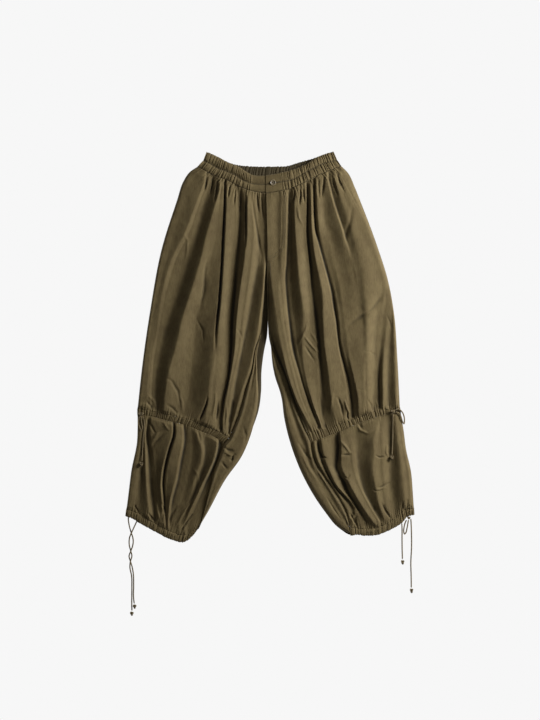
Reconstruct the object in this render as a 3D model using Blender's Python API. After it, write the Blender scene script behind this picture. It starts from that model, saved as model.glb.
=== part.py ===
"""Wide gathered trousers laid flat on a surface, front up, with drawcords at the knees and hems.

The origin is on the surface, under the middle of the trousers. +Y points to the waist and +Z up. Left and
right are as they are seen from above. Sizes in the tables are millimetres. Each front panel is a cloth wall
laid through its folds: a table has one row for each fold, with its place across and its height at the top,
in the middle and at the foot of the panel.
"""

import math

import bpy
import numpy as np

MM = 0.001

# Driving sizes, in millimetres.
CLOTH = 1.5
SEAM_GAP = 0.5
BACK_TOP = CLOTH
FRONT_FLOOR = BACK_TOP + 0.3
WAIST_BACK_TOP = 3.0
WAIST_FLOOR = WAIST_BACK_TOP + 0.3
CORD = 3.2
CROTCH_Y = 34.0
BUTTON = 15.0

# Edges, as points from the top down or from left to right: x, y.
WAIST_TOP_LEFT = [
    (-157, 488), (-144, 483), (-125, 474), (-107, 464),
    (-76, 451), (-58, 439), (-46, 432), (-9, 429),
]
WAIST_MID_LEFT = [
    (-165, 467), (-148, 459), (-129, 448), (-107, 440),
    (-85, 430), (-70, 420), (-51, 411), (-9, 406),
]
WAIST_SEAM_LEFT = [
    (-180, 451), (-161, 440), (-135, 427), (-105, 416),
    (-90, 408), (-59, 394), (-40, 389), (-9, 385),
]
WAIST_TOP_RIGHT = [
    (-9, 430), (16, 434), (43, 440), (60, 445), (78, 452),
    (97, 461), (111, 471), (131, 480), (160, 489),
]
WAIST_MID_RIGHT = [
    (-9, 407), (29, 413), (54, 418), (70, 425), (95, 440),
    (111, 448), (124, 455), (146, 461), (169, 468),
]
WAIST_SEAM_RIGHT = [
    (-9, 384), (33, 391), (50, 395), (70, 403), (86, 410),
    (104, 419), (124, 430), (142, 437), (180, 452),
]
WAIST_TOP_BACK = [
    (-156, 486), (-105, 462), (-75, 455), (-33, 452), (20, 452),
    (43, 453), (70, 461), (109, 472), (159, 487),
]
OUTER_LEFT = [
    (-180, 451), (-200, 438), (-216, 414), (-231, 369),
    (-269, 249), (-299, 89), (-319, -51), (-330, -153),
]
OUTER_RIGHT = [
    (180, 452), (195, 438), (214, 399), (226, 369), (271, 249),
    (296, 169), (311, 89), (320, -30), (326, -151),
]
CENTRE_LEFT = [(-9, 385), (-7, 300), (-6, 226), (-10, 190), (-16, 96), (-26, 24), (-36, -2)]
LEG_SEAM_LEFT = [(-36, -2), (-44, -51), (-61, -106), (-79, -169), (-101, -224)]
CENTRE_RIGHT = [(-9, 384), (-6, 226), (-6, 181), (-4, 100), (-1, 36)]
LEG_SEAM_RIGHT = [(-1, 36), (10, 0), (22, -30), (36, -60), (58, -124), (79, -175), (95, -214)]
KNEE_TOP_LEFT = [
    (-330, -153), (-297, -158), (-266, -165), (-219, -176),
    (-196, -182), (-178, -191), (-136, -206), (-101, -224),
]
KNEE_FOOT_LEFT = [
    (-330, -168), (-297, -172), (-266, -180), (-219, -192),
    (-196, -199), (-178, -207), (-141, -222), (-115, -238),
]
KNEE_TOP_RIGHT = [
    (95, -214), (115, -208), (153, -203), (175, -192),
    (219, -177), (241, -168), (296, -154), (326, -151),
]
KNEE_FOOT_RIGHT = [
    (104, -236), (131, -227), (153, -218), (175, -211),
    (219, -191), (241, -183), (296, -166), (328, -162),
]
SHIN_LEFT = [
    (-330, -168), (-330, -200), (-331, -231), (-346, -311),
    (-351, -351), (-356, -391), (-358, -404),
]
SHIN_RIGHT = [(328, -162), (336, -211), (341, -251), (354, -311), (359, -371), (361, -401)]
SHIN_SEAM_LEFT = [
    (-115, -238), (-128, -275), (-140, -306), (-152, -352),
    (-165, -407), (-172, -435), (-181, -453),
]
SHIN_SEAM_RIGHT = [
    (104, -236), (107, -256), (115, -284), (134, -316),
    (153, -345), (173, -376), (191, -410), (202, -448),
]
HEM_TOP_LEFT = [
    (-358, -404), (-340, -409), (-308, -427), (-271, -447),
    (-240, -463), (-213, -468), (-180, -454),
]
HEM_FOOT_LEFT = [
    (-360, -420), (-346, -425), (-317, -442), (-280, -462),
    (-245, -479), (-212, -485), (-190, -468),
]
HEM_TOP_RIGHT = [
    (202, -448), (218, -451), (240, -453), (262, -452),
    (292, -440), (320, -421), (338, -404), (361, -401),
]
HEM_FOOT_RIGHT = [
    (202, -469), (217, -467), (241, -469), (265, -468),
    (300, -455), (331, -437), (346, -421), (362, -417),
]
INNER_LEFT = [
    (-24, 24), (-31, -19), (-30, -71), (-28, -131), (-39, -191),
    (-69, -271), (-111, -331), (-154, -411), (-177, -450),
]
INNER_RIGHT = [
    (2, 24), (9, -51), (31, -131), (36, -171), (56, -251),
    (89, -331), (139, -411), (171, -449), (200, -466),
]
BACK_INNER_LEFT = [(-6, 30), (-14, -11), (-20, -60), (-21, -111), (-26, -151), (-48, -215)]
BACK_INNER_RIGHT = [(-2, 30), (6, -11), (11, -61), (32, -131), (37, -171), (48, -215)]
BACK_SHIN_LEFT = [(-52, -228), (-70, -271), (-112, -331), (-155, -411), (-183, -452)]
BACK_SHIN_RIGHT = [(52, -228), (58, -251), (90, -331), (140, -411), (171, -447)]

# Folds of each front panel from left to right.
# name, x at the top, middle and foot, height at the top, middle and foot, sharpness from 0 (round) to 1
FRONT_LEFT_FOLDS = [
    ("edge", None, None, None, 3.4, 3.4, 3.4, 1),
    ("side roll", -171, -288, -321, 8, 10, 9, 0),
    ("side crest", -156, -272, -309, 13, 12, 11, 0),
    ("side valley", -146, -254, -281, 5, 6, 6, 0),
    ("wide crest", -134, -206, -265, 14, 16, 14, 0.3),
    ("wide crest far edge", -130, -176, -217, 11, 12, 13, 0.5),
    ("soft valley", -126, -158, -193, 6, 6, 6, 0),
    ("lip", -115, -136, -183, 13, 14, 13, 0.5),
    ("deep crevice", -111, -129, -177, 4, 4, 4, 1),
    ("thigh crest", -104, -120, -146, 12, 13, 12, 0),
    ("thigh dip", -100, -112, -135, 8, 10, 8, 0),
    ("second thigh crest", -94, -103, -124, 13, 15, 13, 0.3),
    ("thigh crevice", -83, -96, -117, 5, 4, 4, 1),
    ("inner crest", -66, -72, -110, 12, 13, 11, 0),
    ("short crevice", -57, -61, -108, 4, 11, 10, 1),
    ("belly crest", -49, -54, -106, 12, 11, 8, 0),
    ("inner valley", -36, -40, -104, 6, 6, 6, 0),
    ("turned edge", -14, -20, -102.5, 8, 12, 6, 0),
    ("edge", None, None, None, 8, 4, 6, 1),
]
FRONT_RIGHT_FOLDS = [
    ("edge", None, None, None, 8, 4, 6, 1),
    ("fly start", 0, 3, 98, 8.5, 6, 8, 0),
    ("inner crest", 22, 30, 105, 9, 15, 13, 0),
    ("fly end", 45, 42, 113, 8.5, 13, 12, 0.4),
    ("fly crevice", 50, 47, 117, 4, 4, 4, 1),
    ("small crest", 57, 54, 123, 12, 8, 9, 0),
    ("small crevice", 63, 64, 131, 5, 6, 6, 0.5),
    ("belly crest", 70, 98, 154, 12, 14, 13, 0),
    ("belly valley", 84, 108, 162, 6, 7, 9, 0),
    ("belly crevice", 92, 115, 168, 4, 5, 9, 0.6),
    ("thigh crest", 106, 139, 190, 12, 14, 13, 0.3),
    ("thigh crevice", 112, 161, 203, 4, 4, 4, 1),
    ("broad crest", 121, 168, 214, 14, 14, 14, 0),
    ("broad valley", 137, 182, 234, 7, 9, 12, 0),
    ("side crest", 149, 220, 262, 14, 14, 13, 0.5),
    ("side drop", 154, 232, 272, 7, 9, 5, 0.5),
    ("outer crest", 166, 274, 298, 12, 13, 9, 0),
    ("side roll", 173, 301, 316, 8, 10, 11, 0),
    ("edge", None, None, None, 3.4, 3.4, 3.4, 1),
]
SHIN_LEFT_FOLDS = [
    ("edge", None, None, None, 3.4, 3.4, 3.4, 1),
    ("strip crest", -324, -337, -350, 8, 8, 8, 0),
    ("strip valley", -310, -322, -326, 5, 6, 6, 0),
    ("strip far crest", -300, -309, -302, 10, 12, 12, 0),
    ("wedge", -291, -298, -280, 6, 4, 5, 0.2),
    ("plateau", -272, -280, -271, 6, 10, 8, 0),
    ("first crest", -244, -262, -263, 14, 14, 12, 0.5),
    ("first crevice", -239, -257, -260, 5, 5, 6, 1),
    ("second crest", -225, -235, -256, 14, 14, 12, 0.5),
    ("second crevice", -219, -228, -252, 5, 4, 5, 1),
    ("broad valley", -203, -212, -245, 6, 5, 6, 0),
    ("soft crest", -181, -186, -235, 12, 11, 10, 0),
    ("soft dip", -157, -168, -230, 7, 8, 8, 0),
    ("lip", -134, -153, -225, 13, 15, 12, 0.5),
    ("deep gap", -126, -146, -219, 4, 4, 4, 1),
    ("gap far side", -120, -142, -200, 5, 6, 8, 0),
    ("edge", None, None, None, 6, 8, 7, 1),
]
SHIN_RIGHT_FOLDS = [
    ("edge", None, None, None, 7, 9, 7, 1),
    ("seam crevice", 119, 139, 206, 4, 5, 4, 0.6),
    ("small crest", 128, 160, 215, 11, 12, 9, 0.3),
    ("black valley", 173, 171, 247, 5, 4, 4, 0.6),
    ("ridge edge", 180, 186, 256, 11, 12, 10, 0.5),
    ("ridge", 201, 207, 268, 14, 15, 13, 0),
    ("broad valley", 232, 240, 277, 10, 5, 7, 0),
    ("middle crest", 270, 266, 285, 13, 13, 11, 0.3),
    ("shelf", 287, 284, 297, 8, 9, 7, 0),
    ("dark valley", 304, 306, 316, 4, 4, 5, 0.3),
    ("side ridge", 317, 338, 340, 9, 12, 11, 0),
    ("edge", None, None, None, 3.4, 3.4, 3.4, 1),
]

# Folds of the inner leg panels, whose places are shares of the width: name, share at the top, middle and foot,
# height at the top, middle and foot, sharpness
INNER_LEFT_FOLDS = [
    ("seam edge", 0, 0, 0, 4, 6, 7, 1),
    ("seam ridge", 0.2, 0.2, 0.2, 8, 10, 9, 0),
    ("trough", 0.5, 0.5, 0.5, 7, 6.5, 7, 0),
    ("inner crest", 0.8, 0.85, 0.8, 9, 9, 7, 0),
    ("inner edge", 1, 1, 1, 4, 3.4, 3.4, 1),
]
INNER_RIGHT_FOLDS = [
    ("inner edge", 0, 0, 0, 3.4, 3.4, 3.4, 1),
    ("inner crest", 0.2, 0.2, 0.2, 5, 9, 7, 0),
    ("trough", 0.55, 0.5, 0.5, 4, 6, 7, 0),
    ("seam ridge", 0.85, 0.8, 0.8, 4, 10, 9, 0),
    ("seam edge", 1, 1, 1, 4, 6, 6, 1),
]

# Shares of a panel's height at which it has a row of points, closer at its seams.
LONG_ROWS = [0, 0.025, 0.07, 0.15, 0.26, 0.38, 0.5, 0.61, 0.71, 0.8, 0.88, 0.94, 0.98, 1]
SHORT_ROWS = [0, 0.06, 0.16, 0.3, 0.44, 0.58, 0.72, 0.84, 0.94, 1]

BACK_COLUMNS = 14

# The least distance between two folds, as a share of their panel's width.
LEAST_SHARE = 0.006

# Gathered bands: number of gathers, height of the underside, height at the stitch lines, puff between them and
# depth of the gathers.
BANDS = {
    "waistband_left": (22, WAIST_FLOOR, 6.0, 1.6, 2.4),
    "waistband_right": (22, WAIST_FLOOR, 7.0, 1.4, 2.4),
    "waistband_back": (20, 0, 2.0, 0.3, 1.0),
    "knee_casing": (18, FRONT_FLOOR, 6.0, 1.8, 2.6),
    "hem_front": (17, FRONT_FLOOR, 5.0, 1.8, 2.4),
}

# Share of each front waistband's length, at the middle, that has no gathers.
FLAT_SHARE = 0.2

# Middle of the button's underside.
BUTTON_AT = (8.5, 411.5, 8.35)

# Foot of the fly at the centre seam, how much higher it is at its outer end, and the columns of the front
# panel's points that it covers.
FLY_FOOT = 214.0
FLY_RISE = 35.0
FLY_COLUMNS = 7

# How far the back panels stay inside the outline.
BACK_INSET = 1.0

# Routes of the drawcords' free ends and loops, from where they leave the cloth: x, y, height of the middle
CORD_ROUTES = {
    "hem_cord_left_a": [
        (-352.7, -423.6, 1.8), (-352.7, -430, 1.8), (-351.5, -439, 1.8), (-349, -451, 1.8), (-345.2, -463.8, 1.8),
        (-341.8, -474, 1.8), (-340.5, -484, 1.8), (-342, -496, 3.8), (-346.5, -508.8, 5.8), (-350.7, -521, 3.8),
        (-347.7, -533.8, 1.8), (-343.6, -547, 1.8), (-340.6, -563, 1.8), (-339.5, -594, 1.8), (-339.8, -624, 1.8),
        (-338, -640.5, 1.9),
    ],
    "hem_cord_left_b": [
        (-331.4, -433.7, 1.8), (-335, -441.6, 1.9), (-340.2, -453, 4.6), (-345.2, -463.8, 5.8), (-349.2, -474, 4.6),
        (-350.8, -484, 1.8), (-350, -496, 1.8), (-346.5, -508.8, 1.8), (-343.8, -521, 3.4), (-347.2, -534, 5.8),
        (-348.6, -548, 3.8), (-344.8, -570, 1.8), (-344, -606, 1.8), (-344.2, -641, 1.8), (-343.8, -658, 1.9),
    ],
    "hem_cord_right_a": [
        (353.0, -427.4, 2.6), (353.6, -435, 1.8), (354.5, -456, 1.8), (355, -496, 1.8), (353.2, -538, 1.8),
        (354, -573, 1.8), (354.3, -600.5, 1.9),
    ],
    "hem_cord_right_b": [
        (330.6, -439.2, 1.8), (331.2, -452, 1.8), (331.2, -476, 1.8), (331.5, -506, 1.8), (332.2, -529.5, 1.9),
    ],
    "hem_loop_right": [
        (347.4, -430.0, 2.8), (345.8, -440, 1.9), (343.6, -452, 1.8), (340.6, -463, 1.8), (337.6, -466.2, 1.8),
        (335.6, -461, 1.8), (336.2, -450, 1.8), (338.4, -440, 1.8), (342.4, -430.4, 2.6),
    ],
    "knee_cord_left": [
        (-315.4, -171.4, 11), (-312.8, -185, 8.8), (-313.6, -210, 8.4), (-316, -232, 8.6), (-317, -255, 8.6),
        (-318.6, -284, 10.8),
    ],
    "knee_loop_left": [
        (-325.0, -171.4, 11), (-327.2, -186, 9.5), (-324.6, -199, 9.6), (-320.4, -207, 9.4), (-317.6, -201, 9),
        (-319.4, -188, 9.5), (-321.2, -171.8, 11),
    ],
    "knee_cord_right": [
        (307.6, -164.9, 11.2), (307.6, -178, 8.8), (307.3, -200, 8.2), (307, -221, 8), (306.4, -250, 7.8),
        (305.4, -268, 7.8),
    ],
    "knee_loop_right": [
        (312.2, -156.6, 12), (320.5, -153.4, 11.6), (330.5, -160.5, 8), (336.8, -176, 3.2), (335.8, -190.5, 3.8),
        (331.6, -184, 7.6), (326.8, -170, 10), (320.8, -162.6, 11), (313.5, -161.4, 12),
    ],
}

# Knots: middle of the knot, and its half sizes along x, y and z
KNOTS = {
    "hem_knot_left_a": ((-336.8, -646.5, 4.4), (4.6, 6.2, 4.2)),
    "hem_knot_left_b": ((-343.8, -664.3, 4.4), (4.6, 6.2, 4.2)),
    "hem_bow_right": ((348.0, -425.3, 4.6), (4.6, 3.9, 4.2)),
    "hem_knot_right_a": ((354.8, -607.05, 4.4), (4.4, 6.6, 4.2)),
    "hem_knot_right_b": ((332.6, -535.9, 4.4), (4.4, 6.4, 4.2)),
    "knee_bow_left": ((-320.4, -166.0, 11.6), (7.6, 4.4, 3.8)),
    "knee_knot_left": ((-319.4, -291.0, 12.0), (4.2, 6.4, 4.0)),
    "knee_bow_right": ((307.6, -160.0, 12.8), (5.4, 4.4, 3.8)),
    "knee_knot_right": ((305.6, -274.8, 9.2), (4.2, 6.4, 4.0)),
}


def clear_scene():
    for obj in list(bpy.data.objects):
        bpy.data.objects.remove(obj, do_unlink=True)


def material(name, colour, roughness, metallic=0.0):
    """A plain finish with a colour, a roughness and a metallic value."""
    made = bpy.data.materials.new(name)
    made.use_nodes = True
    shader = made.node_tree.nodes["Principled BSDF"]
    shader.inputs["Base Color"].default_value = (*colour, 1)
    shader.inputs["Roughness"].default_value = roughness
    shader.inputs["Metallic"].default_value = metallic
    made.diffuse_color = (*colour, 1)
    return made


def smooth_curve(points, shares):
    """A curve at shares of its length: a cubic between each two points, whose slope at a point follows both
    its neighbours."""
    points = np.array(points, float)
    steps = np.linalg.norm(np.diff(points, axis=0), axis=1)
    at = np.concatenate([[0], np.cumsum(steps)]) / steps.sum()
    slopes = np.gradient(points, at, axis=0)
    shares = np.asarray(shares, float)
    start = np.clip(np.searchsorted(at, shares, side="right") - 1, 0, len(at) - 2)
    span = (at[start + 1] - at[start])[..., None]
    t = (shares - at[start])[..., None] / span
    begin, end = points[start], points[start + 1]
    rise_begin, rise_end = slopes[start] * span, slopes[start + 1] * span
    lean = (t**3 - 2 * t**2 + t) * rise_begin + (t**3 - t**2) * rise_end
    return begin + (3 * t**2 - 2 * t**3) * (end - begin) + lean


def moved(points, dx, dy):
    return [(x + dx, y + dy) for x, y in points]


def patch(top, foot, left, right, across, down):
    """Plan of a panel with four curved edges: the mean of its two pairs of edges, less the mean of its corners.
    across and down are equal-shaped arrays of shares. The side edges are pinned to the corners."""
    left = [top[0], *left[1:-1], foot[0]]
    right = [top[-1], *right[1:-1], foot[-1]]
    upper, lower = smooth_curve(top, across), smooth_curve(foot, across)
    first, second = smooth_curve(left, down), smooth_curve(right, down)
    u, v = across[..., None], down[..., None]
    corners = (
        (1 - u) * (1 - v) * np.array(top[0], float)
        + u * (1 - v) * np.array(top[-1], float)
        + (1 - u) * v * np.array(foot[0], float)
        + u * v * np.array(foot[-1], float)
    )
    return (1 - v) * upper + v * lower + (1 - u) * first + u * second - corners


def through_three(values, down):
    """The parabola through a fold's values at the top, middle and foot."""
    top, middle, foot = values
    return top * (1 - down) * (1 - 2 * down) + 4 * middle * down * (1 - down) + foot * down * (2 * down - 1)


def fold_places(folds, top, foot, left, right, down):
    """Each fold's share across and height at each row. The table's x is turned into a share of the panel's
    width at the top, middle and foot, and two folds stay at least LEAST_SHARE apart."""
    ends = [(top[0][0], top[-1][0]), (foot[0][0], foot[-1][0])]
    middle = (smooth_curve(left, [0.5])[0][0], smooth_curve(right, [0.5])[0][0])
    stations = [ends[0], middle, ends[1]]
    places, heights = [], []
    for number, row in enumerate(folds):
        if row[1] is None:
            shares = [0, 0, 0] if number == 0 else [1, 1, 1]
        else:
            shares = [(x - low) / (high - low) for x, (low, high) in zip(row[1:4], stations)]
        places.append(through_three(shares, down))
        heights.append(through_three(row[4:7], down))
    least = np.arange(len(folds))[:, None] * LEAST_SHARE
    places = np.maximum.accumulate(np.array(places) - least, axis=0) + least
    return (places - places[0]) / (places[-1] - places[0]), np.array(heights)


def seam_ease(down, length, seam_share, reach):
    """How much of a fold's height is left near the panel's top and foot seams: seam_share on the seam, all of
    it from reach millimetres away."""
    near = np.clip(np.minimum(down, 1 - down) * length / reach, 0, 1)
    return seam_share + (1 - seam_share) * near * near * (3 - 2 * near)


def between_folds(places, heights, sharp, between):
    """Shares across and heights for a column of points on each fold and some between each two folds, where the
    height goes from fold to fold on a cubic that is flat at a round fold and straight at a sharp one."""
    across, height = [], []
    for k in range(len(places) - 1):
        for t in np.arange(between + 1) / (between + 1):
            blend = 3 * t**2 - 2 * t**3 + sharp[k] * (t**3 - 2 * t**2 + t) + sharp[k + 1] * (t**3 - t**2)
            across.append(places[k] + (places[k + 1] - places[k]) * t)
            height.append(heights[k] + (heights[k + 1] - heights[k]) * blend)
    across.append(places[-1])
    height.append(heights[-1])
    return np.array(across).T, np.array(height).T


def folded_surface(folds, top, foot, left, right, rows, between, seam_level=6.5, seam_share=0.4, reach=38):
    """The top of a folded panel, whose folds sink towards seam_level at its top and foot seams."""
    down = np.array(rows, float)
    places, heights = fold_places(folds, top, foot, left, right, down)
    across, height = between_folds(places, heights, [row[7] for row in folds], between)
    plan = patch(top, foot, left, right, across, np.repeat(down[:, None], across.shape[1], axis=1))
    length = np.linalg.norm(np.array(left[0], float) - np.array(left[-1], float))
    ease = seam_ease(down, length, seam_share, reach)[:, None]
    height = seam_level + (height - seam_level) * ease
    return np.concatenate([plan, height[..., None]], axis=2)


def strip_surface(folds, left, right, between):
    """The top of a long narrow panel between two rows of border points. Its table gives each fold's share
    across at the top, middle and foot, then its heights there."""
    steps = np.linalg.norm(np.diff(left, axis=0), axis=1)
    down = np.concatenate([[0], np.cumsum(steps)]) / steps.sum()
    places = np.array([through_three(row[1:4], down) for row in folds])
    heights = np.array([through_three(row[4:7], down) for row in folds])
    across, height = between_folds(places, heights, [row[7] for row in folds], between)
    plan = left[:, None] + (right - left)[:, None] * across[..., None]
    return np.concatenate([plan, height[..., None]], axis=2)


def under_side(surface, thickness, floor):
    """The surface moved in by the wall's thickness, along its normals inside and straight down at its border,
    and no lower than the floor under it."""
    along = np.gradient(surface, axis=1)
    down = np.gradient(surface, axis=0)
    normal = np.cross(down, along)
    normal /= np.linalg.norm(normal, axis=2, keepdims=True)
    normal *= np.sign(normal[..., 2:])
    normal[[0, -1]] = (0, 0, 1)
    normal[:, [0, -1]] = (0, 0, 1)
    under = surface - normal * thickness
    under[..., 2] = np.maximum(under[..., 2], floor)
    return under


def flat_under(surface, height):
    under = surface.copy()
    under[..., 2] = height
    return under


def solid(name, upper, lower, finish):
    """A closed solid between an upper and a lower grid of points, in millimetres."""
    rows, columns = upper.shape[:2]
    number = np.arange(rows * columns).reshape(rows, columns)
    a, b = number[:-1, :-1].ravel(), number[:-1, 1:].ravel()
    c, d = number[1:, 1:].ravel(), number[1:, :-1].ravel()
    count = rows * columns
    faces = np.stack([a, d, c, b], axis=1).tolist()
    faces += np.stack([a + count, b + count, c + count, d + count], axis=1).tolist()
    border = np.concatenate([number[0, :-1], number[:-1, -1], number[-1, :0:-1], number[:0:-1, 0]])
    following = np.roll(border, -1)
    faces += np.stack([border, following, following + count, border + count], axis=1).tolist()
    points = np.concatenate([upper.reshape(-1, 3), lower.reshape(-1, 3)]) * MM
    return mesh_object(name, points.tolist(), faces, finish)


def mesh_object(name, points, faces, finish):
    mesh = bpy.data.meshes.new(name)
    mesh.from_pydata(points, [], faces)
    mesh.materials.append(finish)
    obj = bpy.data.objects.new(name, mesh)
    bpy.context.scene.collection.objects.link(obj)
    return obj


def folded_panel(name, folds, top, foot, left, right, rows, finish):
    surface = folded_surface(folds, top, foot, left, right, rows, between=1)
    solid(name, surface, under_side(surface, CLOTH, FRONT_FLOOR), finish)
    return surface


def flat_panel(name, top, foot, left, right, rows, finish):
    """A back panel, flat on the surface. All have as many columns, so that their seams run parallel."""
    down, across = np.meshgrid(np.linspace(0, 1, rows), np.linspace(0, 1, BACK_COLUMNS), indexing="ij")
    plan = patch(top, foot, left, right, across, down)
    upper = np.concatenate([plan, np.full(plan.shape[:2] + (1,), BACK_TOP)], axis=2)
    solid(name, upper, flat_under(upper, 0), finish)


def gathered_band(name, edges, band, finish, flat=(0, 0)):
    """A band of one or more stitched channels between its edge curves, with even gathers across it: each
    channel is puffed between its stitch lines, and every second column is lower by the gathers' depth.
    flat gives the shares at the left and right end that have no gathers."""
    gathers, under, level, puff, depth = BANDS[band]
    columns = 2 * gathers
    across = np.linspace(0, 1, columns + 1)
    lines = [smooth_curve(edge, across) for edge in edges]
    inside = np.clip((across - flat[0]) / 0.04, 0, 1) * np.clip((1 - flat[1] - across) / 0.04, 0, 1)
    if flat == (0, 0):
        inside = np.ones_like(across)
    side = np.where(np.arange(columns + 1) % 2 == 0, -1.0, 1.0)
    uneven = 0.75 + 0.25 * np.sin(across * 37.0)
    wave = depth / 2 * side * uneven * inside
    rows = []
    for number, line in enumerate(lines):
        at_seam = np.full(columns + 1, level) + 0.5 * wave
        rows.append(np.column_stack([line, at_seam]))
        if number + 1 < len(lines):
            middle = (line + lines[number + 1]) / 2
            turn = -1 if number % 2 else 1
            rows.append(np.column_stack([middle, level + puff + turn * wave]))
    upper = np.array(rows)
    solid(name, upper, flat_under(upper, under), finish)
    return upper


def make_waistband(cloth):
    """Two elastic channels. The left end passes under the right end, which carries the buttonhole."""
    left = [WAIST_TOP_LEFT, WAIST_MID_LEFT, moved(WAIST_SEAM_LEFT, 0, SEAM_GAP)]
    right = [
        moved(edge, SEAM_GAP, dy)
        for edge, dy in ((WAIST_TOP_RIGHT, 0), (WAIST_MID_RIGHT, 0), (WAIST_SEAM_RIGHT, SEAM_GAP))
    ]
    gathered_band("waistband_left", left, "waistband_left", cloth, flat=(0, FLAT_SHARE))
    gathered_band("waistband_right", right, "waistband_right", cloth, flat=(FLAT_SHARE, 0))
    seam = moved(WAIST_SEAM_LEFT[:-1] + WAIST_SEAM_RIGHT, 0, 4 * SEAM_GAP)
    seam = [(x, y) for x, y in seam if -178 < x < 178]
    channel = [((ax + bx) / 2, (ay + by) / 2) for (ax, ay), (bx, by) in zip(WAIST_TOP_BACK, even(seam, 9))]
    gathered_band("waistband_back", [WAIST_TOP_BACK, channel, seam], "waistband_back", cloth)


def even(points, count):
    """The curve through points, as count points at even steps."""
    return [tuple(point) for point in smooth_curve(points, np.linspace(0, 1, count))]


def make_fronts(cloth):
    """The two wide front panels, which hang from the waistband and balloon over the knee casings."""
    left = folded_panel(
        "front_left",
        FRONT_LEFT_FOLDS,
        moved(WAIST_SEAM_LEFT, -SEAM_GAP, -SEAM_GAP),
        moved(KNEE_TOP_LEFT, -SEAM_GAP, SEAM_GAP),
        moved(OUTER_LEFT, -SEAM_GAP, 0),
        moved(CENTRE_LEFT + LEG_SEAM_LEFT[1:], -SEAM_GAP, 0),
        LONG_ROWS,
        cloth,
    )
    right = folded_panel(
        "front_right",
        FRONT_RIGHT_FOLDS,
        moved(WAIST_SEAM_RIGHT, SEAM_GAP, -SEAM_GAP),
        moved(KNEE_TOP_RIGHT, SEAM_GAP, SEAM_GAP),
        moved(CENTRE_RIGHT + LEG_SEAM_RIGHT[1:], SEAM_GAP, 0),
        moved(OUTER_RIGHT, SEAM_GAP, 0),
        LONG_ROWS,
        cloth,
    )
    return {"left": left, "right": right}


def make_fly(front, cloth):
    """The fly facing on the right front, from that panel's own points, with a foot that is a quarter of an
    ellipse."""
    columns, rows, lift = FLY_COLUMNS, 8, 0.4
    upper = np.zeros((rows, columns, 3))
    for column in range(columns):
        line = front[:, column]
        share = column / (columns - 1)
        foot = FLY_FOOT + FLY_RISE * (1 - math.sqrt(1 - 0.98 * share**2))
        heights = np.linspace(line[0, 1] - 0.5, foot, rows)
        upper[:, column, 0] = np.interp(-heights, -line[:, 1], line[:, 0])
        upper[:, column, 1] = heights
        upper[:, column, 2] = np.interp(-heights, -line[:, 1], line[:, 2])
    lower = upper.copy()
    lower[..., 2] += lift
    upper[..., 2] += lift + CLOTH
    solid("fly", upper, lower, cloth)


def make_button(finish):
    """A turned button with a rim, a dished middle and four thread holes."""
    radius, thick, rim, dish = BUTTON / 2, 3.0, 1.6, 0.9
    holes, hole_radius, hole_ring = 4, 0.8, 1.9
    profile = [(0, 0), (radius - 1, 0), (radius, 1), (radius, thick - 0.6), (radius - 0.6, thick)]
    profile += [(radius - rim, thick), (radius - rim - 0.7, thick - dish), (0, thick - dish)]
    sides = 20
    points, faces = [(0, 0, 0)], []
    for r, z in profile[1:-1]:
        points += [
            (r * math.cos(math.tau * k / sides) * MM, r * math.sin(math.tau * k / sides) * MM, z * MM)
            for k in range(sides)
        ]
    points.append((0, 0, profile[-1][1] * MM))
    last = len(points) - 1
    rings = len(profile) - 2
    for k in range(sides):
        after = (k + 1) % sides
        faces.append((0, 1 + after, 1 + k))
        for ring in range(rings - 1):
            here, above = 1 + ring * sides, 1 + (ring + 1) * sides
            faces.append((here + k, here + after, above + after, above + k))
        top = 1 + (rings - 1) * sides
        faces.append((top + k, top + after, last))
    button = mesh_object("button", points, faces, finish)
    button.location = tuple(value * MM for value in BUTTON_AT)
    for number in range(holes):
        angle = math.tau * (number + 0.5) / holes
        bpy.ops.mesh.primitive_cylinder_add(vertices=8, radius=hole_radius * MM, depth=4 * thick * MM)
        drill = bpy.context.object
        drill.name = f"button_hole_{number}"
        drill.location = (
            button.location.x + hole_ring * MM * math.cos(angle),
            button.location.y + hole_ring * MM * math.sin(angle),
            button.location.z,
        )
        drill.hide_render = True
        drill.display_type = "WIRE"
        cut = button.modifiers.new(drill.name, "BOOLEAN")
        cut.operation = "DIFFERENCE"
        cut.object = drill


def make_knee_casings(cloth):
    """The gathered tunnels of the knee drawcords, on the front of each leg."""
    for side, top, foot in (
        ("left", KNEE_TOP_LEFT, KNEE_FOOT_LEFT),
        ("right", KNEE_TOP_RIGHT, KNEE_FOOT_RIGHT),
    ):
        edges = [moved(top, 0, -SEAM_GAP), moved(foot, 0, SEAM_GAP)]
        gathered_band(f"knee_casing_{side}", edges, "knee_casing", cloth)


def make_shins(cloth):
    """The front panels below the knee."""
    left = folded_panel(
        "front_lower_left",
        SHIN_LEFT_FOLDS,
        moved(KNEE_FOOT_LEFT, -SEAM_GAP, -SEAM_GAP),
        moved(HEM_TOP_LEFT, -SEAM_GAP, SEAM_GAP),
        moved(SHIN_LEFT, -SEAM_GAP, 0),
        moved(SHIN_SEAM_LEFT, -SEAM_GAP, 0),
        SHORT_ROWS,
        cloth,
    )
    right = folded_panel(
        "front_lower_right",
        SHIN_RIGHT_FOLDS,
        moved(KNEE_FOOT_RIGHT, SEAM_GAP, -SEAM_GAP),
        moved(HEM_TOP_RIGHT, SEAM_GAP, SEAM_GAP),
        moved(SHIN_SEAM_RIGHT, SEAM_GAP, 0),
        moved(SHIN_RIGHT, SEAM_GAP, 0),
        SHORT_ROWS,
        cloth,
    )
    return {"left": left, "right": right}


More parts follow.
